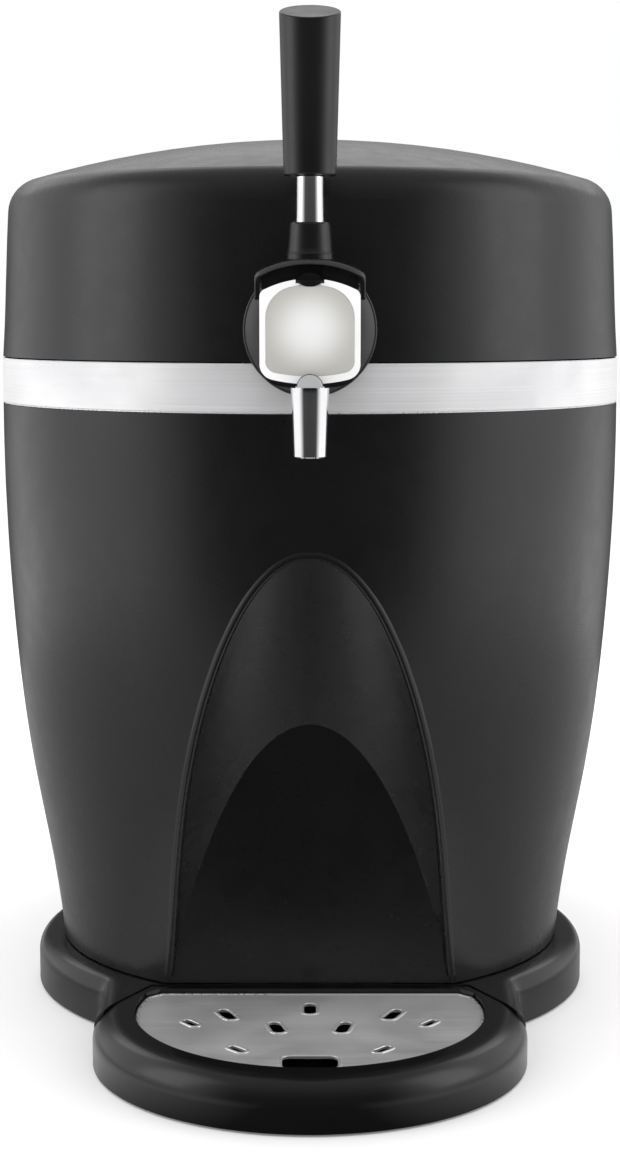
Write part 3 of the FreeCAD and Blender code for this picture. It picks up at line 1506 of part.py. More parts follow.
def make_tap_face():
    crown_y = -S.bezel_front + S.bezel_crown
    prism = frontal("bezel_prism", face_outline(0), S.bezel_back, S.bezel_front + 5)
    ball = sphere("bezel_ball", S.bezel_crown, 0, crown_y, S.tap_height)
    domed = common("bezel_domed", prism, ball)
    pocket_prism = frontal("bezel_pocket_prism", inset_outline(0.08), S.bezel_back - 5, S.bezel_front + 5)
    floor_ball = sphere("bezel_floor_ball", S.bezel_crown - S.face_inset, 0, crown_y, S.tap_height)
    pocket = cut("bezel_pocket", pocket_prism, [floor_ball])
    window_z = S.tap_height - window_drop
    notch_low = cylinder("bezel_notch_low", window_hole_radius, 20, 0, -S.bezel_back + 1, window_z, "-Y")
    notch_half = tab_half + 0.2
    notch_high = block("bezel_notch_high", -notch_half, notch_half, -S.bezel_front - 5, -S.bezel_back + 1,
                       S.tap_height + 17.6, S.tap_height + 30)
    sub_part("tap_bezel", cut("tap_bezel", domed, [pocket, notch_low, notch_high]))
    face_prism = frontal("face_prism", inset_outline(0), S.bezel_back - 5, S.bezel_front + 5)
    face_ball = sphere("face_ball", S.bezel_crown + 0.2, 0, crown_y, S.tap_height)
    face_floor = sphere("face_floor", S.bezel_crown - S.face_inset, 0, crown_y, S.tap_height)
    face_domed = common("face_domed", face_prism, face_ball)
    face_notch = cylinder("face_notch", window_hole_radius, 20, 0, -S.bezel_back + 1, window_z, "-Y")
    sub_part("tap_faceplate", cut("tap_faceplate", face_domed, [face_floor, face_notch]))
    backing = frontal("backing_prism", backing_outline(), S.tap_back_front, S.bezel_back)
    window_gap = cylinder("backing_window", window_hole_radius, 2.0, 0, -S.bezel_back + 1.0, window_z,
                          "-Y")
    spout_gap = cylinder("backing_spout", S.spout_top_radius, 20, 0, -S.hose_place, S.spout_top - 10)
    sub_part("tap_backing", cut("tap_backing", backing, [window_gap, spout_gap]))
    window = cylinder("window_round", window_radius, S.bezel_front - 1.2 - S.bezel_back + 1.0, 0,
                      -S.bezel_back + 1.0, window_z, "-Y")
    upper = block("window_keep", -10, 10, -FAR, 0, window_z, window_z + 10)
    sub_part("nozzle_window", common("nozzle_window", window, upper))
    tab_ring = frontal("tab_outline", [
        (-tab_half, S.tap_body_top),
        (tab_half, S.tap_body_top),
        (tab_half, S.tap_body_top + 1.5),
        Via((0, S.tap_body_top + 4.8)),
        (-tab_half, S.tap_body_top + 1.5)], S.tap_back_front - 7, S.tap_back_front + 2)
    sub_part("tap_top_tab", tab_ring)


def backing_outline():
    """Front view of the black block behind the bezel; it shows a little below it."""
    half = S.tap_body_half
    z = S.tap_height
    right = [
        (half, z - 16.5),
        (half, z + 12),
        (half - 3, z + 14),
    ]
    low = (half - 2.0, z - 19.6)
    left = mirror_image(right)
    return right + left + [mirror_point(low), Via((0, z - 21.5)), low]


def make_spout():
    neck = S.tap_body_bottom
    corners = [
        (S.hose_radius + S.slack, S.spout_bottom),
        (S.spout_bottom_radius - 0.5, S.spout_bottom),
        (S.spout_bottom_radius, S.spout_bottom + 0.5),
        (S.spout_top_radius, S.spout_top),
        (S.spout_top_radius - 1.6, S.spout_top),
        (S.spout_top_radius - 1.6, neck),
        (S.hose_radius + S.slack, neck),
    ]
    sub_part("spout", turned("spout", corners, 0, -S.hose_place, 0))
    solid = hose_sweep("hose_outer", S.hose_radius)
    bore = hose_sweep("hose_bore", S.hose_radius - S.hose_wall)
    sub_part("beer_hose", cut("beer_hose", solid, [bore]))
    base = S.rim_height + S.liner_wall + 0.2
    coupler = turned("coupler_profile", [
        (S.hose_radius - S.hose_wall, base),
        (9, base),
        (9, base + 3),
        (6.5, base + 4),
        (6.5, coupler_top),
        (S.hose_radius - S.hose_wall, coupler_top)], 0, -coupler_place, 0)
    sub_part("keg_coupler", coupler)
    clip = turned("clip_ring", [
        (9.3, S.rim_height), (11.3, S.rim_height), (11.3, base + 3.5), (9.3, base + 3.5)],
        0, -coupler_place, 0)
    clear = block("clip_clear", -12, 12, -coupler_place + 4, 0, 0, FAR)
    clear_post = block("clip_post_clear", -12, 12, -FAR, -post_rear, 0, FAR)
    clear_lip = cylinder("clip_lip_clear", liner_radius + S.liner_lip + S.slack, base)
    sub_part("coupler_clip", cut("coupler_clip", clip, [clear, clear_post, clear_lip]))


# ---------------------------------------------------------------------------------------------
# Tap lever
# ---------------------------------------------------------------------------------------------
leg_play = 0.7
leg_thickness = 2.0
leg_hub = 4.2
leg_half = 3.0


def hood_corner(inset):
    """The hood's bevelled right corner under its bowed top, seen from the front and moved inwards."""
    side = S.hood_half_width - inset
    bevel = 1.2 - as_size(inset) / 3
    return [(side, S.hood_radius - 6.5 - as_size(inset) / 2),
            (side - bevel, S.hood_radius - 4.9 - as_size(inset) * 0.85)]


def make_lever():
    half = S.hood_half_width
    radius = S.hood_radius
    wall = S.hood_wall
    leg_inner = S.tap_body_half + leg_play
    leg_outer = leg_inner + leg_thickness
    right = [(half - wall, hood_step), (half, hood_step)] + hood_corner(0)
    inner_right = hood_corner(wall)
    inner_left = list(reversed(mirror_image(inner_right)))
    corners = (right + [arch_top(half / 2, radius)] + mirror_image(right)
               + inner_left + [arch_top(-half / 2, radius - wall)] + list(reversed(inner_right)))
    hood = swung("hood", corners, S.hood_front_angle, S.hood_back_angle)
    legs = []
    for side in (-1, 1):
        low, high = (leg_inner, leg_outer) if side > 0 else (-leg_outer, -leg_inner)
        legs.append(sideways("lever_leg_%d" % (side + 1), [
            (-S.lever_place - leg_hub, S.pivot_height),
            Via((-S.lever_place, S.pivot_height - leg_hub)),
            (-S.lever_place + leg_hub, S.pivot_height),
            (-S.lever_place + leg_half, S.pivot_height + hood_step + 1),
            (-S.lever_place - leg_half, S.pivot_height + hood_step + 1)], low, high))
        legs.append(block("lever_step_%d" % (side + 1), *sorted_pair(side * leg_inner, side * half),
                          -S.lever_place - leg_half, -S.lever_place + leg_half,
                          S.pivot_height + hood_step, S.pivot_height + hood_step + wall + 0.4))
    seat_sink = 4
    seat = cylinder("hood_seat", S.hood_seat_radius, S.collar_bottom - S.pivot_height - radius + seat_sink,
                    0, -S.lever_place, S.pivot_height + radius - seat_sink)
    hollow = cylinder("hood_hollow", radius - wall, 2 * FAR, -FAR, -S.lever_place, S.pivot_height, "X")
    seat_cut = cut("hood_seat_cut", seat, [hollow])
    bores = cylinder("lever_bore", S.pivot_pin_radius + S.pin_play, 2 * FAR, -FAR, -S.lever_place,
                     S.pivot_height, "X")
    yoke = cut("lever_yoke", fuse("yoke_full", [hood, seat_cut] + legs), [bores])
    sub_part("lever_yoke", yoke)
    pin_half = leg_outer + 0.6
    sub_part("lever_pin", cylinder("lever_pin", S.pivot_pin_radius, 2 * pin_half, -pin_half,
                                   -S.lever_place, S.pivot_height, "X"))
    make_handle()


def swung(label, corners, front_angle, back_angle):
    """An outline seen from the front, swung about the lever's pin to both sides of upright."""
    body, sketch = sketched_body(label + "_profile", "XZ_Plane", corners)
    turn = body.newObject("PartDesign::Revolution", label + "_turn")
    turn.Profile = sketch
    turn.ReferenceAxis = (sketch, ["H_Axis"])
    turn.Type = "TwoAngles"
    bind(turn, "Angle", front_angle)
    bind(turn, "Angle2", back_angle)
    return place(body, 0, -S.lever_place, S.pivot_height)


def arch_top(side, top):
    """Three points of the hood's bowed top, from one side to the other."""
    return Via((side, top - 1.2), (0, top), (-side, top - 1.2))


def make_handle():
    rod = S.rod_radius
    bottom = S.collar_bottom
    top = S.collar_top
    collar = turned("lever_collar", [
        (rod - 1, bottom),
        (S.collar_foot_radius, bottom),
        Via((S.collar_foot_radius - 0.6, bottom + 1.2)),
        (S.collar_foot_radius - 0.9, bottom + 2.8),
        (7.9, top - 0.8),
        (7.3, top),
        (rod - 1, top)], 0, -S.lever_place, 0)
    sub_part("lever_collar", collar)
    shaft = turned("lever_rod", [
        (0, bottom + 0.5),
        (rod - 1, bottom + 0.5),
        (rod - 1, top),
        (rod + 0.38, top),
        (rod, S.grip_bottom + 3),
        (rod, S.grip_bottom + 14),
        (0, S.grip_bottom + 14)], 0, -S.lever_place, 0)
    sub_part("lever_rod", shaft)
    peak = S.grip_top + 8
    low_radius = S.grip_bottom_radius
    slope_height = peak - S.grip_bottom
    gain = (S.grip_top_radius - low_radius) / (S.grip_top - S.grip_bottom)
    grip = turned("grip_solid", [
        (rod, S.grip_bottom + 3),
        (low_radius - 1.8, S.grip_bottom + 2),
        (low_radius - 1.6, S.grip_bottom),
        (low_radius - 0.4, S.grip_bottom),
        (low_radius, S.grip_bottom + 0.5),
        (low_radius + gain * slope_height, peak),
        (0, peak),
        (0, S.grip_bottom + 14),
        (rod, S.grip_bottom + 14)], 0, -S.lever_place, 0)
    blade = doc.addObject("Part::Box", "grip_blade")
    bind(blade, "Length", 60)
    bind(blade, "Width", 60)
    bind(blade, "Height", 40)
    slope = Rotation(Vector(1, 0, 0), float(S.grip_slope))
    offset = slope.multVec(Vector(-30, -30, 0))
    place(blade, offset.x, -S.lever_place + offset.y, S.grip_top + offset.z, slope)
    raw = cut("grip_raw", grip, [blade])
    sub_part("lever_grip", rounded("lever_grip", raw, 0.7, is_grip_rim))


def is_grip_rim(edge):
    box = edge.BoundBox
    return box.ZMin > float(S.grip_top) - 8 and box.ZLength > 3 and box.XLength > 15


# ---------------------------------------------------------------------------------------------
# Drip tray
# ---------------------------------------------------------------------------------------------
drip_plate_centre = S.tray_centre + 0.6


def tray_outline(gap, inset=0):
    """Plan of the tray: a half-round front and a tail that narrows into the bay."""
    radius = S.tray_radius - inset
    step = S.arm_reach + gap + 0.1 + inset
    tail_back = S.bay_depth + gap + inset
    rear_half = S.bay_rear_half - gap - inset
    front_half = S.bay_front_half - gap - inset
    front_x = chord(radius, step - S.tray_centre)
    right = [
        (front_x, -step),
        (front_half, -step),
        (rear_half, -tail_back),
    ]
    return right + mirror_image(right) + [Via((0, -S.tray_centre - radius))]


def make_tray():
    solid = plate("tray_solid", tray_outline(S.seam), S.foot_lift, S.tray_height)
    doc.recompute()
    pad = solid.Tip
    front_arc = at_height(S.tray_height, lambda middle: middle.y < -float(S.tray_centre) - 20)
    bend = solid.newObject("PartDesign::Fillet", "tray_shoulder")
    bend.Base = (pad, [name_of(pad.Shape, edge) for edge in pad.Shape.Edges if front_arc(edge)])
    bind(bend, "Radius", S.tray_round)
    solid.Tip = bend
    plate_floor = S.drip_plate_top - S.drip_plate_thickness
    recess = plate("tray_recess", drip_outline(S.drip_plate_gap), plate_floor, S.tray_height + 5)
    basin = plate("tray_basin", drip_outline(-3.0), S.foot_lift + S.tray_wall, plate_floor + 1)
    sub_part("drip_tray", cut("drip_tray", solid, [recess, basin]))
    pads = []
    for number, x in enumerate((-52, 52)):
        pads.append(cylinder("tray_pad_%d" % number, 6, S.foot_lift, x, -S.tray_centre - 23.1, 0))
    sub_part("tray_feet", group("tray_feet", pads))
    make_drip_plate()


def drip_outline(gap):
    """Plan of the steel plate: a circle with a straight back edge and clipped corners."""
    radius = S.drip_plate_radius + gap
    back = S.drip_plate_back - gap
    centre = drip_plate_centre
    half = chord(radius, centre - back - 5)
    right = [
        (half, -back - 5),
        (half - 5.5, -back),
    ]
    return right + mirror_image(right) + [Via((0, -centre - radius))]


slot_target = 76.5               # where the drain slots point, in front of the plate's centre
tool_height = 20
tool_low = 5


def slot_tool(label, x, y, length, width):
    """A long drain slot that points at the middle of the front edge."""
    target_y = -float(drip_plate_centre) - slot_target
    y = float(y)
    turn = math.degrees(math.atan2(target_y - y, -x))
    middle = doc.addObject("Part::Box", label + "_middle")
    run = length - width
    bind(middle, "Length", run)
    bind(middle, "Width", width)
    bind(middle, "Height", tool_height)
    spin = Rotation(Vector(0, 0, 1), turn)
    corner = spin.multVec(Vector(-run / 2, -width / 2, 0))
    place(middle, x + corner.x, y + corner.y, tool_low, spin)
    ends_of_slot = []
    for number, side in enumerate((-1, 1)):
        offset = spin.multVec(Vector(side * run / 2, 0, 0))
        ends_of_slot.append(cylinder("%s_end_%d" % (label, number), width / 2, tool_height,
                                     x + offset.x, y + offset.y, tool_low))
    return fuse(label, [middle] + ends_of_slot)


wide_slot = (15.0, 6.4)
narrow_slot = (10.2, 4.8)
slot_places = ((34.0, 2.0, wide_slot), (13.5, 18.5, wide_slot), (48.3, 13.0, narrow_slot),
               (28.5, 45.0, narrow_slot))
finger_half = 11.5
finger_front = 67.5
finger_back = 52.5


def make_drip_plate():
    top = S.drip_plate_top
    sheet_solid = plate("drip_solid", drip_outline(0), top - S.drip_plate_thickness, top)
    slots = []
    centre = drip_plate_centre
    for side in (-1, 1):
        for x, forward, size in slot_places:
            slots.append(slot_tool("slot_%d" % len(slots), side * x, -centre - forward, *size))
    slots.append(slot_tool("slot_middle", 0.0, 5.5 - centre, *wide_slot))
    finger = block("finger_slot", -finger_half, finger_half, -centre - finger_front,
                   -centre - finger_back, 5, 40)
    finger_soft = rounded("finger_slot_soft", finger, 4.0, upright)
    sub_part("drip_plate", cut("drip_plate", sheet_solid, slots + [finger_soft]))


# ---------------------------------------------------------------------------------------------
# Build, check and write
# ---------------------------------------------------------------------------------------------
make_base()
make_bottom_plate()
make_feet()
make_barrel()
make_rim()
make_chamber()
make_chamber_foam()
make_cooler()
make_fan()
make_rear_housing()
make_rear_cover()
make_board()
make_inlet()
make_switch()
make_hinge()
make_lid()
make_tap_mount()
make_spout()
make_lever()
make_tray()
doc.recompute()

problems = []
for feature in doc.Objects:
    if "Invalid" in feature.State or "Error" in feature.State:
        problems.append("%s: %s" % (feature.Label, feature.State))
for feature in NODES:
    shape = feature.Shape
    if shape.isNull() or not shape.isValid() or not shape.Solids:
        problems.append("%s: no valid solid" % feature.Label)
if problems:
    raise RuntimeError("\n".join(problems))

os.makedirs("parts", exist_ok=True)
for feature in NODES:
    feature.Shape.exportStep("parts/%s.step" % feature.Label)
    box = feature.Shape.BoundBox
    print("%-20s %2d solids %9.0f mm3  x %6.1f %6.1f  y %6.1f %6.1f  z %6.1f %6.1f" % (
        feature.Label, len(feature.Shape.Solids), feature.Shape.Volume,
        box.XMin, box.XMax, box.YMin, box.YMax, box.ZMin, box.ZMax))
print("%d sub-parts" % len(NODES))
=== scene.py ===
"""The looks of a mini keg beer dispenser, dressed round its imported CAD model.

The front looks along -Y and Z is up. Sizes are in metres, except where a line says mm."""

import json
import math

import bmesh
import bpy
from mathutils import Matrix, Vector
from mathutils.bvhtree import BVHTree


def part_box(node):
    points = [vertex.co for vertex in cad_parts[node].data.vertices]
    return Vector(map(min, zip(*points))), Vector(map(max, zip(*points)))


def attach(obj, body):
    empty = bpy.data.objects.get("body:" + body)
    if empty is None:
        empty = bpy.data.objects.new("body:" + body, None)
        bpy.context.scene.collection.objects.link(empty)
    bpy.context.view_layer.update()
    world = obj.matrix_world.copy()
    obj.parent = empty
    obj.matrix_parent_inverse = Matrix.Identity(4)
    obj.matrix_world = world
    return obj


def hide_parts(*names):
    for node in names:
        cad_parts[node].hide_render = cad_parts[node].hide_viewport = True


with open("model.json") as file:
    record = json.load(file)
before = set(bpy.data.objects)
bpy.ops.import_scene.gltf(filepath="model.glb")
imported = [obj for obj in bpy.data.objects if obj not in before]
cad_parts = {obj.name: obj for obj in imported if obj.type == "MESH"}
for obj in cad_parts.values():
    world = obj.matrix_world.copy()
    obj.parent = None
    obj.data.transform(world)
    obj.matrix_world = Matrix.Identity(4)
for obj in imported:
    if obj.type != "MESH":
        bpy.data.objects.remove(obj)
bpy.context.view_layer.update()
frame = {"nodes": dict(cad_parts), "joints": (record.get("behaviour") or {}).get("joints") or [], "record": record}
scene = bpy.context.scene
nodes = frame["nodes"]
materials = {}

MM = 0.001
SHARP_ANGLE = math.radians(40)   # edges that turn by more than this stay sharp
RIGHT = Vector((1.0, 0.0, 0.0))
BACK = Vector((0.0, 1.0, 0.0))
UP = Vector((0.0, 0.0, 1.0))


def add_object(name, data):
    thing = bpy.data.objects.new(name, data)
    scene.collection.objects.link(thing)
    return thing


def turns(count):
    """Evenly spaced angles round a full turn."""
    return [2 * math.pi * i / count for i in range(count)]


# ---------------------------------------------------------------- materials

class Shader:
    """A node tree with one Principled BSDF, and short calls that add nodes to it."""

    def __init__(self, name, colour, metallic=0.0, roughness=0.5, **sockets):
        self.material = bpy.data.materials.new(name)
        self.material.use_nodes = True
        self.tree = self.material.node_tree
        self.bsdf = self.tree.nodes["Principled BSDF"]
        self.bsdf.inputs["Base Color"].default_value = (*colour, 1.0)
        self.bsdf.inputs["Metallic"].default_value = metallic
        self.bsdf.inputs["Roughness"].default_value = roughness
        for socket, value in sockets.items():
            self.bsdf.inputs[socket.replace("_", " ")].default_value = value
        self.place = self.add("ShaderNodeTexCoord").outputs["Object"]

    def add(self, kind, **settings):
        node = self.tree.nodes.new(kind)
        for key, value in settings.items():
            setattr(node, key, value)
        return node

    def link(self, source, target):
        self.tree.links.new(source, target)

    def scaled(self, scale):
        """The place on the object, multiplied along each axis."""
        mapping = self.add("ShaderNodeMapping")
        mapping.inputs["Scale"].default_value = scale
        self.link(self.place, mapping.inputs["Vector"])
        return mapping.outputs["Vector"]

    def noise(self, scale, detail=3.0, stretch=(1, 1, 1)):
        """Noise with that many waves to the metre, times `stretch` along each axis."""
        node = self.add("ShaderNodeTexNoise")
        node.inputs["Scale"].default_value = scale
        node.inputs["Detail"].default_value = detail
        self.link(self.scaled(stretch), node.inputs["Vector"])
        return node.outputs["Fac"]

    def cells(self, scale):
        """Rounded cells, that many to the metre."""
        node = self.add("ShaderNodeTexVoronoi", feature="SMOOTH_F1")
        node.inputs["Scale"].default_value = scale
        self.link(self.place, node.inputs["Vector"])
        return node.outputs["Distance"]

    def distance(self, point):
        """How far a place on the object is from a point."""
        node = self.add("ShaderNodeVectorMath", operation="DISTANCE")
        self.link(self.place, node.inputs[0])
        node.inputs[1].default_value = point
        return node.outputs["Value"]

    def parts(self, vector):
        node = self.add("ShaderNodeSeparateXYZ")
        self.link(vector, node.inputs[0])
        return node.outputs

    def ranged(self, value, low, high, start=0.3, end=0.7, curve="LINEAR"):
        """`low` where the value is at its start or under it, and `high` at its end or over it."""
        node = self.add("ShaderNodeMapRange", interpolation_type=curve)
        node.inputs["From Min"].default_value = start
        node.inputs["From Max"].default_value = end
        node.inputs["To Min"].default_value = low
        node.inputs["To Max"].default_value = high
        self.link(value, node.inputs["Value"])
        return node.outputs["Result"]

    def maths(self, operation, *values):
        """A sum on numbers or sockets."""
        node = self.add("ShaderNodeMath", operation=operation)
        for socket, value in zip(node.inputs, values):
            if isinstance(value, (int, float)):
                socket.default_value = value
            else:
                self.link(value, socket)
        return node.outputs[0]

    def blended(self, factor, first, second):
        """A colour between two colours or sockets."""
        node = self.add("ShaderNodeMix", data_type="RGBA")
        self.link(factor, node.inputs["Factor"])
        for socket, colour in ((node.inputs[6], first), (node.inputs[7], second)):
            if isinstance(colour, tuple):
                socket.default_value = (*colour, 1.0)
            else:
                self.link(colour, socket)
        return node.outputs[2]

    def worn_edge(self, radius, strength):
        """High where the surface turns sharply within that radius."""
        bevel = self.add("ShaderNodeBevel", samples=4)
        bevel.inputs["Radius"].default_value = radius
        plain = self.add("ShaderNodeNewGeometry")
        dot = self.add("ShaderNodeVectorMath", operation="DOT_PRODUCT")
        self.link(bevel.outputs["Normal"], dot.inputs[0])
        self.link(plain.outputs["Normal"], dot.inputs[1])
        edge, flat = 0.7, 0.99
        return self.ranged(dot.outputs["Value"], strength, 0.0, edge, flat)

    def colour(self, socket):
        self.link(socket, self.bsdf.inputs["Base Color"])

    def roughness(self, socket):
        self.link(socket, self.bsdf.inputs["Roughness"])

    def bump(self, height, distance):
        node = self.add("ShaderNodeBump")
        node.inputs["Distance"].default_value = distance
        node.inputs["Strength"].default_value = 1.0
        self.link(height, node.inputs["Height"])
        self.link(node.outputs["Normal"], self.bsdf.inputs["Normal"])


def tone(colour, factor):
    return tuple(min(1.0, c * factor) for c in colour)


def plastic(name, colour, roughness=0.38, grain=1500.0, depth=0.00002, wear=0.25, **sockets):
    """Moulded plastic: a fine spark grain, slight cloudiness, and edges rubbed a little lighter."""
    darker, lighter, rub_radius = 0.88, 1.12, 0.0006
    s = Shader(name, colour, 0.0, roughness, **sockets)
    cloud = s.ranged(s.noise(14.0), 0.0, 1.0)
    body = s.blended(cloud, tone(colour, darker), tone(colour, lighter))
    rubbed = tuple(c * 0.6 + 0.03 for c in colour)
    s.colour(s.blended(s.worn_edge(rub_radius, wear), body, rubbed))
    s.roughness(s.ranged(s.noise(90.0, 5.0), roughness * darker, roughness * lighter))
    s.bump(s.cells(grain), depth)
    materials[name] = s.material


def metal(name, colour, roughness=0.25, streak=(900, 900, 900), depth=0.000004, metallic=1.0):
    """Metal with streaks along the directions in which `streak` is small."""
    darker, lighter, smoother, rougher, streak_share = 0.93, 1.05, 0.75, 1.3, 0.6
    s = Shader(name, colour, metallic, roughness)
    lines = s.noise(1.0, 4.0, streak)
    s.colour(s.blended(s.ranged(lines, 0.0, 1.0), tone(colour, darker), tone(colour, lighter)))
    mixed = s.maths("MULTIPLY_ADD", lines, streak_share, s.noise(25.0))
    s.roughness(s.ranged(mixed, roughness * smoother, roughness * rougher, 0.6, 1.0))
    s.bump(lines, depth)
    materials[name] = s.material


def satin_face_painted_highlight(name, centre, rim, middle, reach, roughness):
    """Satin paint with a painted highlight: its colour is pale in the middle of the pressed face and darker
    towards its rim, as a reflected light would fall off.
    """
    s = Shader(name, centre, 0.25, roughness, Coat_Weight=0.25, Coat_Roughness=0.3)
    # Painted highlight: the colour runs from the pale middle out to the darker rim.
    outer = s.ranged(s.distance(middle), 0.0, 1.0, 0.0, reach, "SMOOTHERSTEP")
    s.colour(s.blended(outer, centre, rim))
    s.roughness(s.ranged(s.noise(900.0), roughness * 0.9, roughness * 1.1))
    s.bump(s.noise(4000.0), 0.000003)
    materials[name] = s.material


BLACK = (0.0060, 0.0060, 0.0062)
face_low, face_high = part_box("tap_faceplate")
face_middle = ((face_low.x + face_high.x) / 2, face_low.y, (face_low.z + face_high.z) / 2)

plastic("body_black", BLACK, 0.28)
plastic("lid_black", BLACK, 0.28)
plastic("base_black", tone(BLACK, 0.9), 0.23, 1800.0, 0.000012)
metal("band_steel", (0.94, 0.94, 0.95), 0.68, (6, 6, 2600), 0.0000015, 0.78)
metal("plate_steel", (0.80, 0.80, 0.805), 0.50, (12, 2600, 600), 0.000002, 0.75)
metal("tap_chrome", (0.86, 0.86, 0.87), 0.05, (60, 60, 60), 0.0000006)
# The face's pale middle and darker rim are a painted highlight, not a change in the paint.
satin_face_painted_highlight("face_satin", (1.0, 1.0, 0.995), (0.52, 0.51, 0.475), face_middle, 0.022, 0.40)
plastic("tap_black", tone(BLACK, 0.9), 0.30, 2200.0, 0.00001)
# A lighter copy of the tap's black for the hood's front lip: a painted sheen.
plastic("lip_sheen_black", (0.030, 0.030, 0.031), 0.30, 2200.0, 0.00001)
plastic("bezel_white", (0.92, 0.92, 0.92), 0.20, 3000.0, 0.000002, 0.0, Metallic=0.2)
metal("rim_steel", (0.88, 0.88, 0.89), 0.30, depth=0.000001, metallic=0.7)
plastic("mark_white", (0.80, 0.80, 0.80), 0.40)
plastic("disc_grey", (0.026, 0.026, 0.0265), 0.36, 2200.0, 0.00001)
plastic("grip_black", tone(BLACK, 1.1), 0.34, 2200.0, 0.00001)
plastic("inner_grey", (0.035, 0.035, 0.037), 0.45)
plastic("liner_white", (0.34, 0.34, 0.33), 0.42)
metal("chamber_aluminium", (0.60, 0.60, 0.61), 0.34, (6, 6, 1800))
metal("cast_aluminium", (0.55, 0.55, 0.56), 0.40, (200, 200, 1500))
plastic("rigid_foam", (0.80, 0.78, 0.70), 0.85, 700.0, 0.0002, 0.0)
plastic("module_ceramic", (0.80, 0.80, 0.78), 0.60)
plastic("seal_rubber", (0.018, 0.018, 0.018), 0.62)
plastic("hose_silicone", (0.72, 0.74, 0.74), 0.30, Transmission_Weight=0.5)
plastic("coupler_white", (0.62, 0.62, 0.60), 0.35)
plastic("clear_plastic", (0.55, 0.56, 0.57), 0.12, Transmission_Weight=0.35)
plastic("hinge_steel", (0.014, 0.014, 0.015), 0.32, 900.0, 0.000012, 0.5)
metal("zinc_screw", (0.55, 0.55, 0.56), 0.30)
plastic("fan_black", (0.012, 0.012, 0.012), 0.40)
plastic("board_green", (0.01, 0.09, 0.035), 0.30)
plastic("component_black", (0.02, 0.02, 0.022), 0.45)
plastic("switch_black", (0.010, 0.010, 0.011), 0.28)
metal("contact_brass", (0.62, 0.44, 0.18), 0.25)


def dress(piece, look):
    piece.data.materials.clear()
    piece.data.materials.append(materials[look])


for entry in frame["record"]["subparts"]:
    dress(nodes[entry["node"]], entry["material_slot"])
dress(nodes["tap_bezel"], "bezel_white")


# ---------------------------------------------------------------- detail pieces

def add_piece(name, points, faces, slot, body, look=None):
    """A smooth closed mesh, with its points in metres, that rides on a body."""
    mesh = bpy.data.meshes.new(name)
    mesh.from_pydata([tuple(point) for point in points], [], faces)
    work = bmesh.new()
    work.from_mesh(mesh)
    bmesh.ops.recalc_face_normals(work, faces=work.faces)
    work.to_mesh(mesh)
    work.free()
    mesh.shade_smooth()
    mesh.set_sharp_from_angle(angle=SHARP_ANGLE)
    piece = add_object(name, mesh)
    dress(piece, look or slot)
    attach(piece, body)
    return piece


def ring_grid(rings, count, looped=False):
    """Faces between neighbouring rings of `count` points."""
    return [(r * count + i, r * count + (i + 1) % count,
             (r + 1) % rings * count + (i + 1) % count, (r + 1) % rings * count + i)
            for r in range(rings if looped else rings - 1) for i in range(count)]


def sweep(name, rings, slot, body, looped=False, look=None):
    """A tube through rings of points, capped at its ends unless it is looped."""
    count = len(rings[0])
    faces = ring_grid(len(rings), count, looped)
    if not looped:
        faces += [tuple(range(count)), tuple(range((len(rings) - 1) * count, len(rings) * count))]
    add_piece(name, [point for ring in rings for point in ring], faces, slot, body, look)


def oval(middle, first, second, wide, tall, count):
    """A ring of points, `wide` to each side along one direction and `tall` along the other."""
    return [middle + first * (wide * math.cos(turn)) + second * (tall * math.sin(turn))
            for turn in turns(count)]


def along(points, index, looped=False):
    """The direction of a row of points at one of them."""
    last = len(points) - 1
    before = index - 1 if looped or index else 0
    after = (index + 1) % len(points) if looped else min(index + 1, last)
    return (points[after] - points[before]).normalized()


def surface_of(node):
    """A CAD node's surface, for finding points on it with rays."""
    mesh = nodes[node].data
    return BVHTree.FromPolygons([vertex.co for vertex in mesh.vertices],
                                [polygon.vertices[:] for polygon in mesh.polygons])


def welded(node):
    """A working copy of a CAD node's mesh whose faces share their points."""
    work = bmesh.new()
    work.from_mesh(nodes[node].data)
    bmesh.ops.remove_doubles(work, verts=work.verts, dist=0.000001)
    return work


def alcove_edge():
    """Points from the foot of the alcove's mouth, over its top, to the other foot.

    The mouth is where the barrel's skin meets an ellipsoid."""
    half_width, half_depth, half_height = 0.123, 0.260, 0.500
    centre_y, centre_z = -0.296, -0.187
    top, foot, steps = 0.2082, 0.0255, 72
    skin = surface_of("barrel_shell")
    edge = []
    for step in range(-steps, steps + 1):
        share = step / steps
        z = top - (top - foot) * share * share
        radius = skin.ray_cast(Vector((1.0, 0.0, z)), -RIGHT)[0].x
        square = 1 / half_depth ** 2 - 1 / half_width ** 2
        middle = -centre_y / half_depth ** 2
        rest = (centre_y / half_depth) ** 2 + (radius / half_width) ** 2 - 1 \
            + ((z - centre_z) / half_height) ** 2
        y = (-middle + math.sqrt(max(middle ** 2 - square * rest, 0.0))) / square
        x = math.copysign(math.sqrt(max(radius ** 2 - y ** 2, 0.0)), share)
        edge.append((Vector((x, y, z)), radius))
    return edge


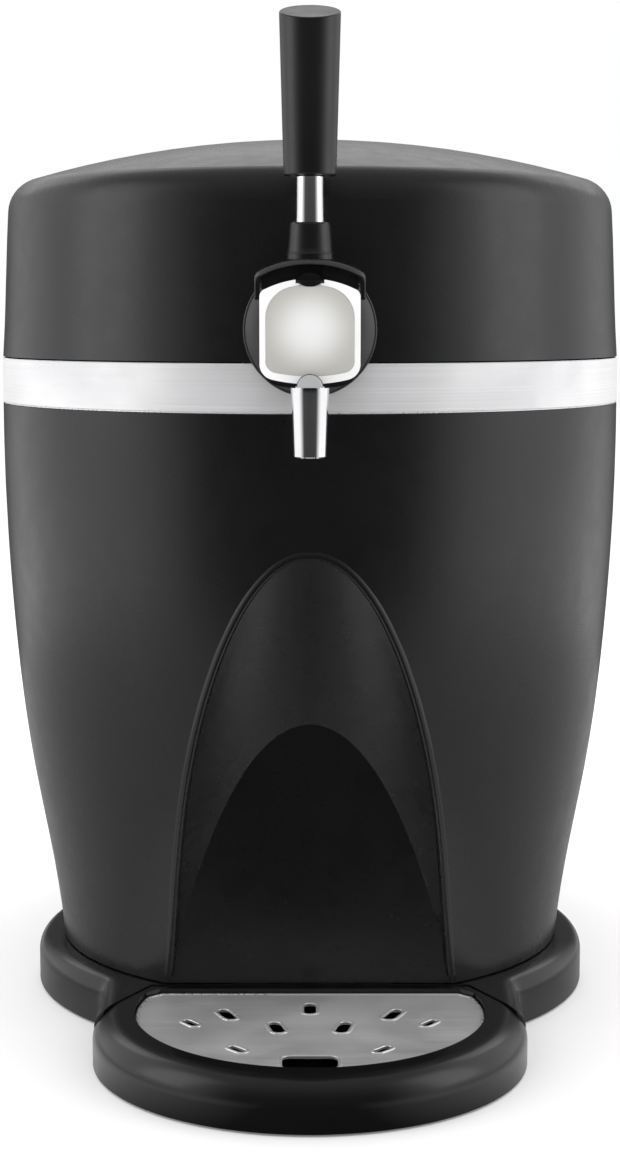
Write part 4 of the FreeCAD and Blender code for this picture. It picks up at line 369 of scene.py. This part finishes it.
def make_alcove_lip():
    """The rolled lip round the alcove: a soft bead, and a step down behind it.

    Its profile is in mm, into the alcove and out of the barrel."""
    profile = ((-2.6, -0.15), (-1.9, 0.25), (-1.3, 0.52), (-0.6, 0.68), (0.0, 0.60), (0.5, 0.25),
               (0.85, -0.30), (1.05, -1.0), (1.1, -1.8), (0.9, -3.2), (-1.6, -2.6))
    edge = alcove_edge()
    spots = [spot for spot, radius in edge]
    top = len(edge) // 2
    flank = [Vector((radius, 0.0, spot.z)) for spot, radius in edge[top:]]
    rings = []
    for index, (spot, radius) in enumerate(edge):
        lean = along(flank, abs(index - top))
        out = Vector((spot.x / radius, spot.y / radius, -lean.x / lean.z if lean.z else 0.0))
        out.normalize()
        inward = along(spots, index).cross(out).normalized()
        if inward.dot(Vector((0.0, spot.y, 0.1)) - spot) < 0:
            inward = -inward
        rings.append([spot + inward * i * MM + out * o * MM for i, o in profile])
    sweep("alcove_lip", rings, "body_black", "housing")


def rim_loops(node):
    """Loops of points round the sharp top edges of a flat CAD sheet."""
    level = 0.00001
    work = welded(node)
    top = max(vertex.co.z for vertex in work.verts)
    sharp = {edge for edge in work.edges
             if len(edge.link_faces) == 2 and min(f.normal.z for f in edge.link_faces) < 0.5
             and all(top - vertex.co.z < level for vertex in edge.verts)}
    loops = []
    for edge in sorted(sharp, key=lambda e: e.index):
        if edge not in sharp:
            continue
        sharp.discard(edge)
        start, spot = edge.verts
        loop = [start.co.copy()]
        while spot is not start:
            loop.append(spot.co.copy())
            step = next(e for e in spot.link_edges if e in sharp)
            sharp.discard(step)
            spot = step.other_vert(spot)
        loops.append(loop)
    work.free()
    return loops


def evened(loop, spacing):
    """The same closed loop with its points evenly spaced."""
    closed = loop + [loop[0]]
    lengths = [(b - a).length for a, b in zip(closed, closed[1:])]
    total = sum(lengths)
    count = max(16, round(total / spacing))
    points, piece, passed = [], 0, 0.0
    for number in range(count):
        want = total * number / count
        while passed + lengths[piece] < want:
            passed += lengths[piece]
            piece += 1
        points.append(closed[piece].lerp(closed[piece + 1], (want - passed) / lengths[piece]))
    return points


def make_plate_rims():
    """The rolled edge of the plate, and the pressed and polished rim of each drain slot.

    A bead is given by the spacing of its rings and by half its width and height."""
    plate_bead, slot_bead = (0.0016, 0.00070, 0.00035), (0.0009, 0.00075, 0.00042)
    for number, loop in enumerate(sorted(rim_loops("drip_plate"), key=len, reverse=True)):
        spacing, wide, tall = slot_bead if number else plate_bead
        points = evened(loop, spacing)
        centre = sum(points, Vector()) / len(points)
        rings = []
        for index, spot in enumerate(points):
            side = along(points, index, True).cross(UP)
            if not number:
                spot = spot + side * math.copysign(wide, side.dot(centre - spot))
            rings.append(oval(spot, side, UP, wide, tall, 18))
        sweep("plate_rim_%02d" % number, rings, "plate_steel", "plate", True, "rim_steel")


def make_hood_lip():
    """The hood's front edge, sloped back towards its top so that it catches the light, and dressed in a lighter
    black that is a painted sheen.

    Its path is seen from the front, in mm from the lever's pin. Its profile gives how far each
    point is outside the hood and in front of it, and grows from thin ends to its full size."""
    profile = ((-0.12, -0.6), (-0.1, 0.0), (-0.3, 0.6), (-0.8, 1.25), (-1.4, 1.7), (-1.78, 1.6),
               (-1.78, -0.6))
    side_x, crown, round_off, square_off = 21.2, 42, 0.01006, 0.000005475
    thin_up_to, growth, thin_reach, thin_width = 33.0, 4.5, 0.1, 0.35
    lean = math.radians(12)
    up = Vector((0.0, -math.sin(lean), math.cos(lean)))
    forward = Vector((0.0, -math.cos(lean), -math.sin(lean)))
    pin = next(Vector(joint["pos_m"]) for joint in frame["joints"] if joint["name"] == "lever_pull")
    right = [(side_x, height) for height in (27.0, 29.0, 31.0, 33.0, 34.2, 35.2)]
    right += [(20.9, 35.9), (20.35, 36.75)]
    arch = [(x, crown - round_off * x ** 2 - square_off * x ** 4) for x in range(19, -20, -2)]
    left = [(-x, height) for x, height in reversed(right)]
    path = [Vector((x, height, 0.0)) for x, height in right + arch + left]
    rings = []
    for index, spot in enumerate(path):
        heading = along(path, index)
        outward = RIGHT * heading.y - up * heading.x
        place = pin + (RIGHT * spot.x + up * spot.y) * MM
        share = min(1.0, max(0.0, (spot.y - thin_up_to) / growth))
        reach = thin_reach + (1 - thin_reach) * share
        width = thin_width + (1 - thin_width) * share
        rings.append([place + (outward * o * width + forward * f * (reach if f > 0 else 1.0)) * MM
                      for o, f in profile])
    # The lip's lighter black is a painted sheen, added to the light that its slope really catches.
    sweep("hood_lip", rings, "tap_black", "lever", look="lip_sheen_black")


def prism(name, outline, front, back, slot, body):
    """An outline in x and z, in mm, thickened from front to back, with its front edge rounded."""
    soft, shoulder = 0.25, 0.075
    middle = sum((Vector((x, 0.0, z)) for x, z in outline), Vector()) / len(outline)
    rings = []
    for depth, inset in ((back, 0.0), (front + soft, 0.0), (front + shoulder, shoulder),
                         (front, soft)):
        ring = []
        for x, z in outline:
            spot = Vector((x, 0.0, z))
            spot -= (spot - middle).normalized() * inset
            ring.append(Vector((spot.x, depth, spot.z)) * MM)
        rings.append(ring)
    sweep(name, rings, slot, body)


def make_tap_lips(middle):
    """The black lip under the bezel, to the right and to the left of the spout, in mm."""
    front, back = -168.4, -166.1
    lip = [(5.5, -21.75), (9.0, -21.45), (12.0, -21.0), (14.2, -20.4), (15.8, -19.4), (17.0, -17.9),
           (17.6, -16.0), (16.4, -15.2), (13.0, -17.2), (5.5, -18.6)]
    for name, side in (("tap_lip_right", 1), ("tap_lip_left", -1)):
        prism(name, [(side * x, middle + z) for x, z in lip], front, back, "tap_black", "housing")


def make_tap_tab(middle):
    """The front of the tab over the bezel's top: a slice of a disc with its arc down, in mm."""
    front, back = -174.4, -168.0
    rise, half_width, bend, steps = 18.5, 5.2, 7.03, 16
    widest = math.asin(half_width / bend)
    arc = [widest * (2 * i / steps - 1) for i in range(steps + 1)]
    tab = [(bend * math.sin(turn),
            middle + rise + bend * math.cos(widest) - bend * math.cos(turn)) for turn in arc]
    prism("tap_tab_front", tab, front, back, "tap_black", "housing")


def make_disc_rim(middle):
    """The raised rim of the round disc behind the tap, laid on the disc's own face."""
    radius, wide, tall = 25.6 * MM, 0.5 * MM, 0.35 * MM
    disc = surface_of("tap_disc")
    rings = []
    for turn in turns(96):
        out = Vector((math.cos(turn), 0.0, math.sin(turn)))
        spot = out * radius + UP * (middle * MM)
        front = disc.ray_cast(Vector((spot.x, -1.0, spot.z)), BACK)[0].y
        rings.append(oval(spot + BACK * front, out, BACK, wide, tall, 10))
    sweep("disc_rim", rings, "disc_grey", "housing", True)


def make_band_edge():
    """The bright cut edge along the foot of the steel band, just inside its face."""
    inset, drop, wide, tall = 0.0006, 0.00025, 0.0004, 0.0003
    low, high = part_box("steel_band")
    rings = []
    for turn in turns(180):
        out = Vector((math.cos(turn), math.sin(turn), 0.0))
        spot = out * (high.x - inset) + UP * (low.z - drop)
        rings.append(oval(spot, out, UP, wide, tall, 10))
    sweep("band_edge", rings, "band_steel", "housing", True, "rim_steel")


def islands(node):
    """The boxes of the separate solids in one CAD node."""
    work = welded(node)
    left = set(work.verts)
    boxes = []
    for first in list(work.verts):
        if first not in left:
            continue
        left.discard(first)
        found, queue = [], [first]
        while queue:
            spot = queue.pop()
            found.append(spot.co.copy())
            for edge in spot.link_edges:
                other = edge.other_vert(spot)
                if other in left:
                    left.discard(other)
                    queue.append(other)
        boxes.append([Vector([pick(co[axis] for co in found) for axis in range(3)])
                      for pick in (min, max)])
    work.free()
    return boxes


def cross_reach(turn, arm, half):
    """How far a cross-shaped recess reaches from its middle in one direction."""
    folded = (turn + math.pi / 4) % (math.pi / 2) - math.pi / 4
    return min(arm / math.cos(folded), half / max(abs(math.sin(folded)), 0.0001))


def make_cross_screws(node, axis, body):
    """The same pan-head screws, with a cross recess in each head.

    Each ring round a screw has its depth under the head's top and its reach in each direction."""
    arm, half_slot, recess, recess_floor = 0.0018, 0.00045, 0.0011, 0.72
    head_height, shank, count = 0.0016, 0.0015, 64
    cross = [cross_reach(turn, arm, half_slot) for turn in turns(count)]
    along_screw, across = Vector(), Vector()
    along_screw[axis] = 1.0
    across[3 - axis] = 1.0
    points, faces = [], []
    for low, high in islands(node):
        top = (low + high) / 2
        top[axis] = high[axis]
        head = (high[0] - low[0]) / 2
        end = high[axis] - low[axis]
        rings = [(recess, [reach * recess_floor for reach in cross]), (0.0002, cross)]
        rings += [(depth, [radius] * count) for depth, radius in
                  ((0.0001, head - 0.0012), (0.0002, head - 0.0006), (0.0006, head),
                   (head_height, head), (head_height, shank), (end, shank))]
        start = len(points)
        for depth, reaches in rings:
            points += [top - along_screw * depth
                       + (RIGHT * math.cos(turn) + across * math.sin(turn)) * reach
                       for turn, reach in zip(turns(count), reaches)]
        faces += [tuple(start + i for i in face) for face in ring_grid(len(rings), count)]
        faces += [tuple(range(cap, cap + count)) for cap in (start, len(points) - count)]
    piece = add_piece(node + "_crossed", points, faces, "zinc_screw", body)
    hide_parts(node)


def make_switch_marks():
    """The plain marks for on and off, raised on the rocker."""
    sunk, raised, inset = -0.0002, 0.00012, 0.0029
    low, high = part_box("switch_rocker")
    rocker = surface_of("switch_rocker")
    middle = (low.z + high.z) / 2
    marks = (("switch_mark_on", low.x + inset, (0.00028, 0.0014), (0.0, 0.0)),
             ("switch_mark_off", high.x - inset, (0.0011, 0.0014), (0.00065, 0.00095)))
    for name, x, outer, inner in marks:
        rings = []
        for turn in turns(32):
            ring = []
            for (wide, tall), lift in ((outer, sunk), (outer, raised), (inner, raised),
                                       (inner, sunk)):
                spot = Vector((x + wide * math.cos(turn), 1.0, middle + tall * math.sin(turn)))
                face = rocker.ray_cast(spot, -BACK)[0].y
                ring.append(Vector((spot.x, face + lift, spot.z)))
            rings.append(ring)
        sweep(name, rings, "switch_black", "switch", True, "mark_white")


make_alcove_lip()
make_plate_rims()
make_hood_lip()
disc_low, disc_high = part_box("tap_disc")
disc_middle = (disc_low.z + disc_high.z) / 2 / MM
make_tap_lips(disc_middle)
make_tap_tab(disc_middle)
make_disc_rim(disc_middle)
make_band_edge()
make_cross_screws("cover_screws", 1, "housing")
make_cross_screws("lid_hinge_screws", 1, "lid")
make_cross_screws("hinge_screws", 2, "housing")
make_switch_marks()


# ---------------------------------------------------------------- stage, light and camera

WHITE = (1.0, 1.0, 1.0, 1.0)
WORLD_LIGHT = 1.2
FLOOR_GLOW = 0.12
FLOOR_HALF = 6.0
SIDE_POWER = 3.6
BACK_POWER = 10.0

VEIL_RADIUS = 0.85               # of the curtain, the skirt and the carpet
CURTAIN_FOOT = 0.2
VEIL_FULL = 0.50                 # sideways share of a direction up to which the veils are whole
VEIL_END = 0.90                  # and from which they are gone
# How dark the curtain is, by degrees from level in front, over the top, to level behind.
CURTAIN = ((0, 1.0), (12, 0.95), (30, 0.85), (60, 0.68), (100, 0.55), (122, 0.50), (130, 0.62),
           (155, 0.62), (168, 0.9), (180, 0.9))
CARPET_NEAR = 0.25               # distance up to which the carpet keeps its width
CARPET_WIDTH = 0.075
CARPET_SPREAD = 0.8              # growth of its width with distance from there
# Painted shade on the floor beside the part, standing for its shadow as seen in reflections.
CARPET_SIDE_SHADE = 0.55               # how dark the floor is beside it
CARPET_CLEAR = (0.0, -0.22, 0.0)  # but clear round here
CARPET_LIFT = 0.0006

PHOTO_HEIGHT = 1161              # pixels
FOCAL_LENGTH = 2216.1            # in the same pixels
CAMERA_PLACE = (0.0, -1.0097, 0.3057)
CAMERA_DIP = 6.95                # degrees below level
SENSOR_HEIGHT = 36.0


def studio_mix(tree, plain, shown):
    """Camera, glossy and transmission rays get `shown`; every other ray gets `plain`."""
    path = tree.nodes.new("ShaderNodeLightPath")
    total = path.outputs["Is Camera Ray"]
    for ray in ("Is Glossy Ray", "Is Transmission Ray"):
        larger = tree.nodes.new("ShaderNodeMath")
        larger.operation = "MAXIMUM"
        tree.links.new(total, larger.inputs[0])
        tree.links.new(path.outputs[ray], larger.inputs[1])
        total = larger.outputs[0]
    mix = tree.nodes.new("ShaderNodeMixShader")
    tree.links.new(total, mix.inputs["Fac"])
    tree.links.new(plain, mix.inputs[1])
    tree.links.new(shown, mix.inputs[2])
    return mix.outputs["Shader"]


def make_world():
    """A white studio: a little stronger as light than as it shows."""
    world = bpy.data.worlds.new("studio")
    scene.world = world
    world.use_nodes = True
    tree = world.node_tree
    light, shown = tree.nodes["Background"], tree.nodes.new("ShaderNodeBackground")
    for background, strength in ((light, WORLD_LIGHT), (shown, 1.0)):
        background.inputs["Color"].default_value = WHITE
        background.inputs["Strength"].default_value = strength
    tree.links.new(studio_mix(tree, light.outputs[0], shown.outputs[0]),
                   tree.nodes["World Output"].inputs["Surface"])


def make_floor():
    """Matt paper that glows a little where it is seen, so that it joins the white behind it."""
    half = FLOOR_HALF
    mesh = bpy.data.meshes.new("floor")
    mesh.from_pydata([(-half, -half, 0), (half, -half, 0), (half, half, 0), (-half, half, 0)], [],
                     [(0, 1, 2, 3)])
    s = Shader("floor_paper", (0.82, 0.82, 0.82), 0.0, 0.9, Specular_IOR_Level=0.0)
    glow = s.add("ShaderNodeEmission")
    glow.inputs["Strength"].default_value = FLOOR_GLOW
    lit = s.add("ShaderNodeAddShader")
    s.link(s.bsdf.outputs[0], lit.inputs[0])
    s.link(glow.outputs[0], lit.inputs[1])
    s.link(studio_mix(s.tree, s.bsdf.outputs[0], lit.outputs[0]),
           s.tree.nodes["Material Output"].inputs["Surface"])
    mesh.materials.append(s.material)
    floor = add_object("floor", mesh)


def curtain_opacity(s):
    """Dark in front, thinner overhead, open high behind, dark again low behind.

    It is whole in the middle of the studio's front and back, and gone at its sides."""
    ray = s.add("ShaderNodeVectorMath", operation="NORMALIZE")
    s.link(s.place, ray.inputs[0])
    parts = s.parts(ray.outputs["Vector"])
    aside = s.maths("ABSOLUTE", parts["X"])
    middle = s.ranged(aside, 1.0, 0.0, VEIL_FULL, VEIL_END, "SMOOTHSTEP")
    climb = s.maths("ARCTAN2", parts["Z"], s.maths("MULTIPLY", parts["Y"], -1.0))
    ramp = s.add("ShaderNodeValToRGB")
    stops = ramp.color_ramp.elements
    for degrees, _ in CURTAIN[1:-1]:
        stops.new(degrees / 180)
    for stop, (degrees, value) in zip(stops, CURTAIN):
        stop.position = degrees / 180
        stop.color = (value, value, value, 1.0)
    s.link(s.maths("DIVIDE", climb, math.pi), ramp.inputs["Fac"])
    return s.maths("MULTIPLY", ramp.outputs["Color"], middle)


def carpet_opacity(s):
    """A dark strip in front and behind, narrow by the part and wider further out, and beside the part a painted
    shade that darkens the floor in reflections as the part's shadow would, clear round one spot in front.
    """
    away = s.distance((0.0, 0.0, 0.0))
    beyond = s.maths("MAXIMUM", s.maths("SUBTRACT", away, CARPET_NEAR), 0.0)
    width = s.maths("ADD", s.maths("MULTIPLY", beyond, CARPET_SPREAD), CARPET_WIDTH)
    whole_to, gone_from = 0.45, 1.45
    share = s.maths("DIVIDE", s.maths("ABSOLUTE", s.parts(s.place)["X"]), width)
    strip = s.ranged(share, 1.0, 0.0, whole_to, gone_from)
    # Painted shade: beside the part the carpet darkens the floor as the part's shadow would, except round
    # CARPET_CLEAR.
    clear_to, dark_from = 0.12, 0.22
    beside = s.ranged(s.distance(CARPET_CLEAR), 0.0, CARPET_SIDE_SHADE, clear_to, dark_from)
    return s.maths("MAXIMUM", strip, beside)


def make_veil(name, points, faces, opacity, place):
    """Black cloth that shows only in reflections, let through where its opacity is low."""
    s = Shader(name, (0.0, 0.0, 0.0), 0.0, 1.0, Specular_IOR_Level=0.0)
    mix = s.add("ShaderNodeMixShader")
    s.link(opacity(s), mix.inputs["Fac"])
    s.link(s.add("ShaderNodeBsdfTransparent").outputs[0], mix.inputs[1])
    s.link(s.bsdf.outputs[0], mix.inputs[2])
    s.link(mix.outputs[0], s.tree.nodes["Material Output"].inputs["Surface"])
    mesh = bpy.data.meshes.new(name)
    mesh.from_pydata(points, [], faces)
    mesh.materials.append(s.material)
    card = add_object(name, mesh)
    card.location = place
    card.visible_camera = False
    card.visible_diffuse = False
    card.visible_transmission = False
    card.visible_shadow = False


def circle(radius, height, count):
    return [(radius * math.cos(turn), radius * math.sin(turn), height) for turn in turns(count)]


def make_veils():
    """A dark curtain round the part and a dark carpet before it, as in a photographer's studio; the carpet also
    holds a painted shade on the floor beside the part.
    """
    count, rings, top, carpet_hole = 64, 13, math.radians(88), 0.02
    points = []
    for ring in range(rings):
        climb = top * ring / (rings - 1)
        points += circle(VEIL_RADIUS * math.cos(climb), VEIL_RADIUS * math.sin(climb), count)
    make_veil("studio_curtain", points, ring_grid(rings, count), curtain_opacity,
              (0, 0, CURTAIN_FOOT))
    skirt = circle(VEIL_RADIUS, 0.0, count) + circle(VEIL_RADIUS, CURTAIN_FOOT, count)
    make_veil("studio_skirt", skirt, ring_grid(2, count), curtain_opacity, (0, 0, 0))
    carpet = circle(carpet_hole, 0.0, count) + circle(VEIL_RADIUS, 0.0, count)
    make_veil("studio_carpet", carpet, ring_grid(2, count), carpet_opacity, (0, 0, CARPET_LIFT))


def soft_box(name, place, target, size, power):
    """A lamp of some width and height that looks from its place at a target."""
    light = bpy.data.lights.new(name, "AREA")
    light.shape = "RECTANGLE"
    light.size, light.size_y = size
    light.energy = power
    lamp = add_object(name, light)
    lamp.location = place
    lamp.rotation_euler = (Vector(target) - Vector(place)).to_track_quat("-Z", "Y").to_euler()


def make_lamps():
    """A box to each side of the part, in front of it and above, and one behind."""
    for name, x in (("box_left", -1.3), ("box_right", 1.3)):
        soft_box(name, (x, -0.3, 0.9), (0, 0, 0.2), (0.8, 1.4), SIDE_POWER)
    soft_box("box_back", (0.0, 1.15, 1.15), (0, 0, 0.35), (2.4, 0.8), BACK_POWER)


def make_camera():
    """The camera that was fitted to the photograph."""
    data = bpy.data.cameras.new("photo_camera")
    data.sensor_fit = "VERTICAL"
    data.sensor_height = SENSOR_HEIGHT
    data.lens = SENSOR_HEIGHT * FOCAL_LENGTH / PHOTO_HEIGHT
    data.clip_end = 30.0
    camera = add_object("photo_camera", data)
    camera.location = CAMERA_PLACE
    camera.rotation_euler = (math.radians(90 - CAMERA_DIP), 0.0, 0.0)
    scene.camera = camera


make_world()
make_floor()
make_veils()
make_lamps()
make_camera()
scene.view_settings.view_transform = "Standard"
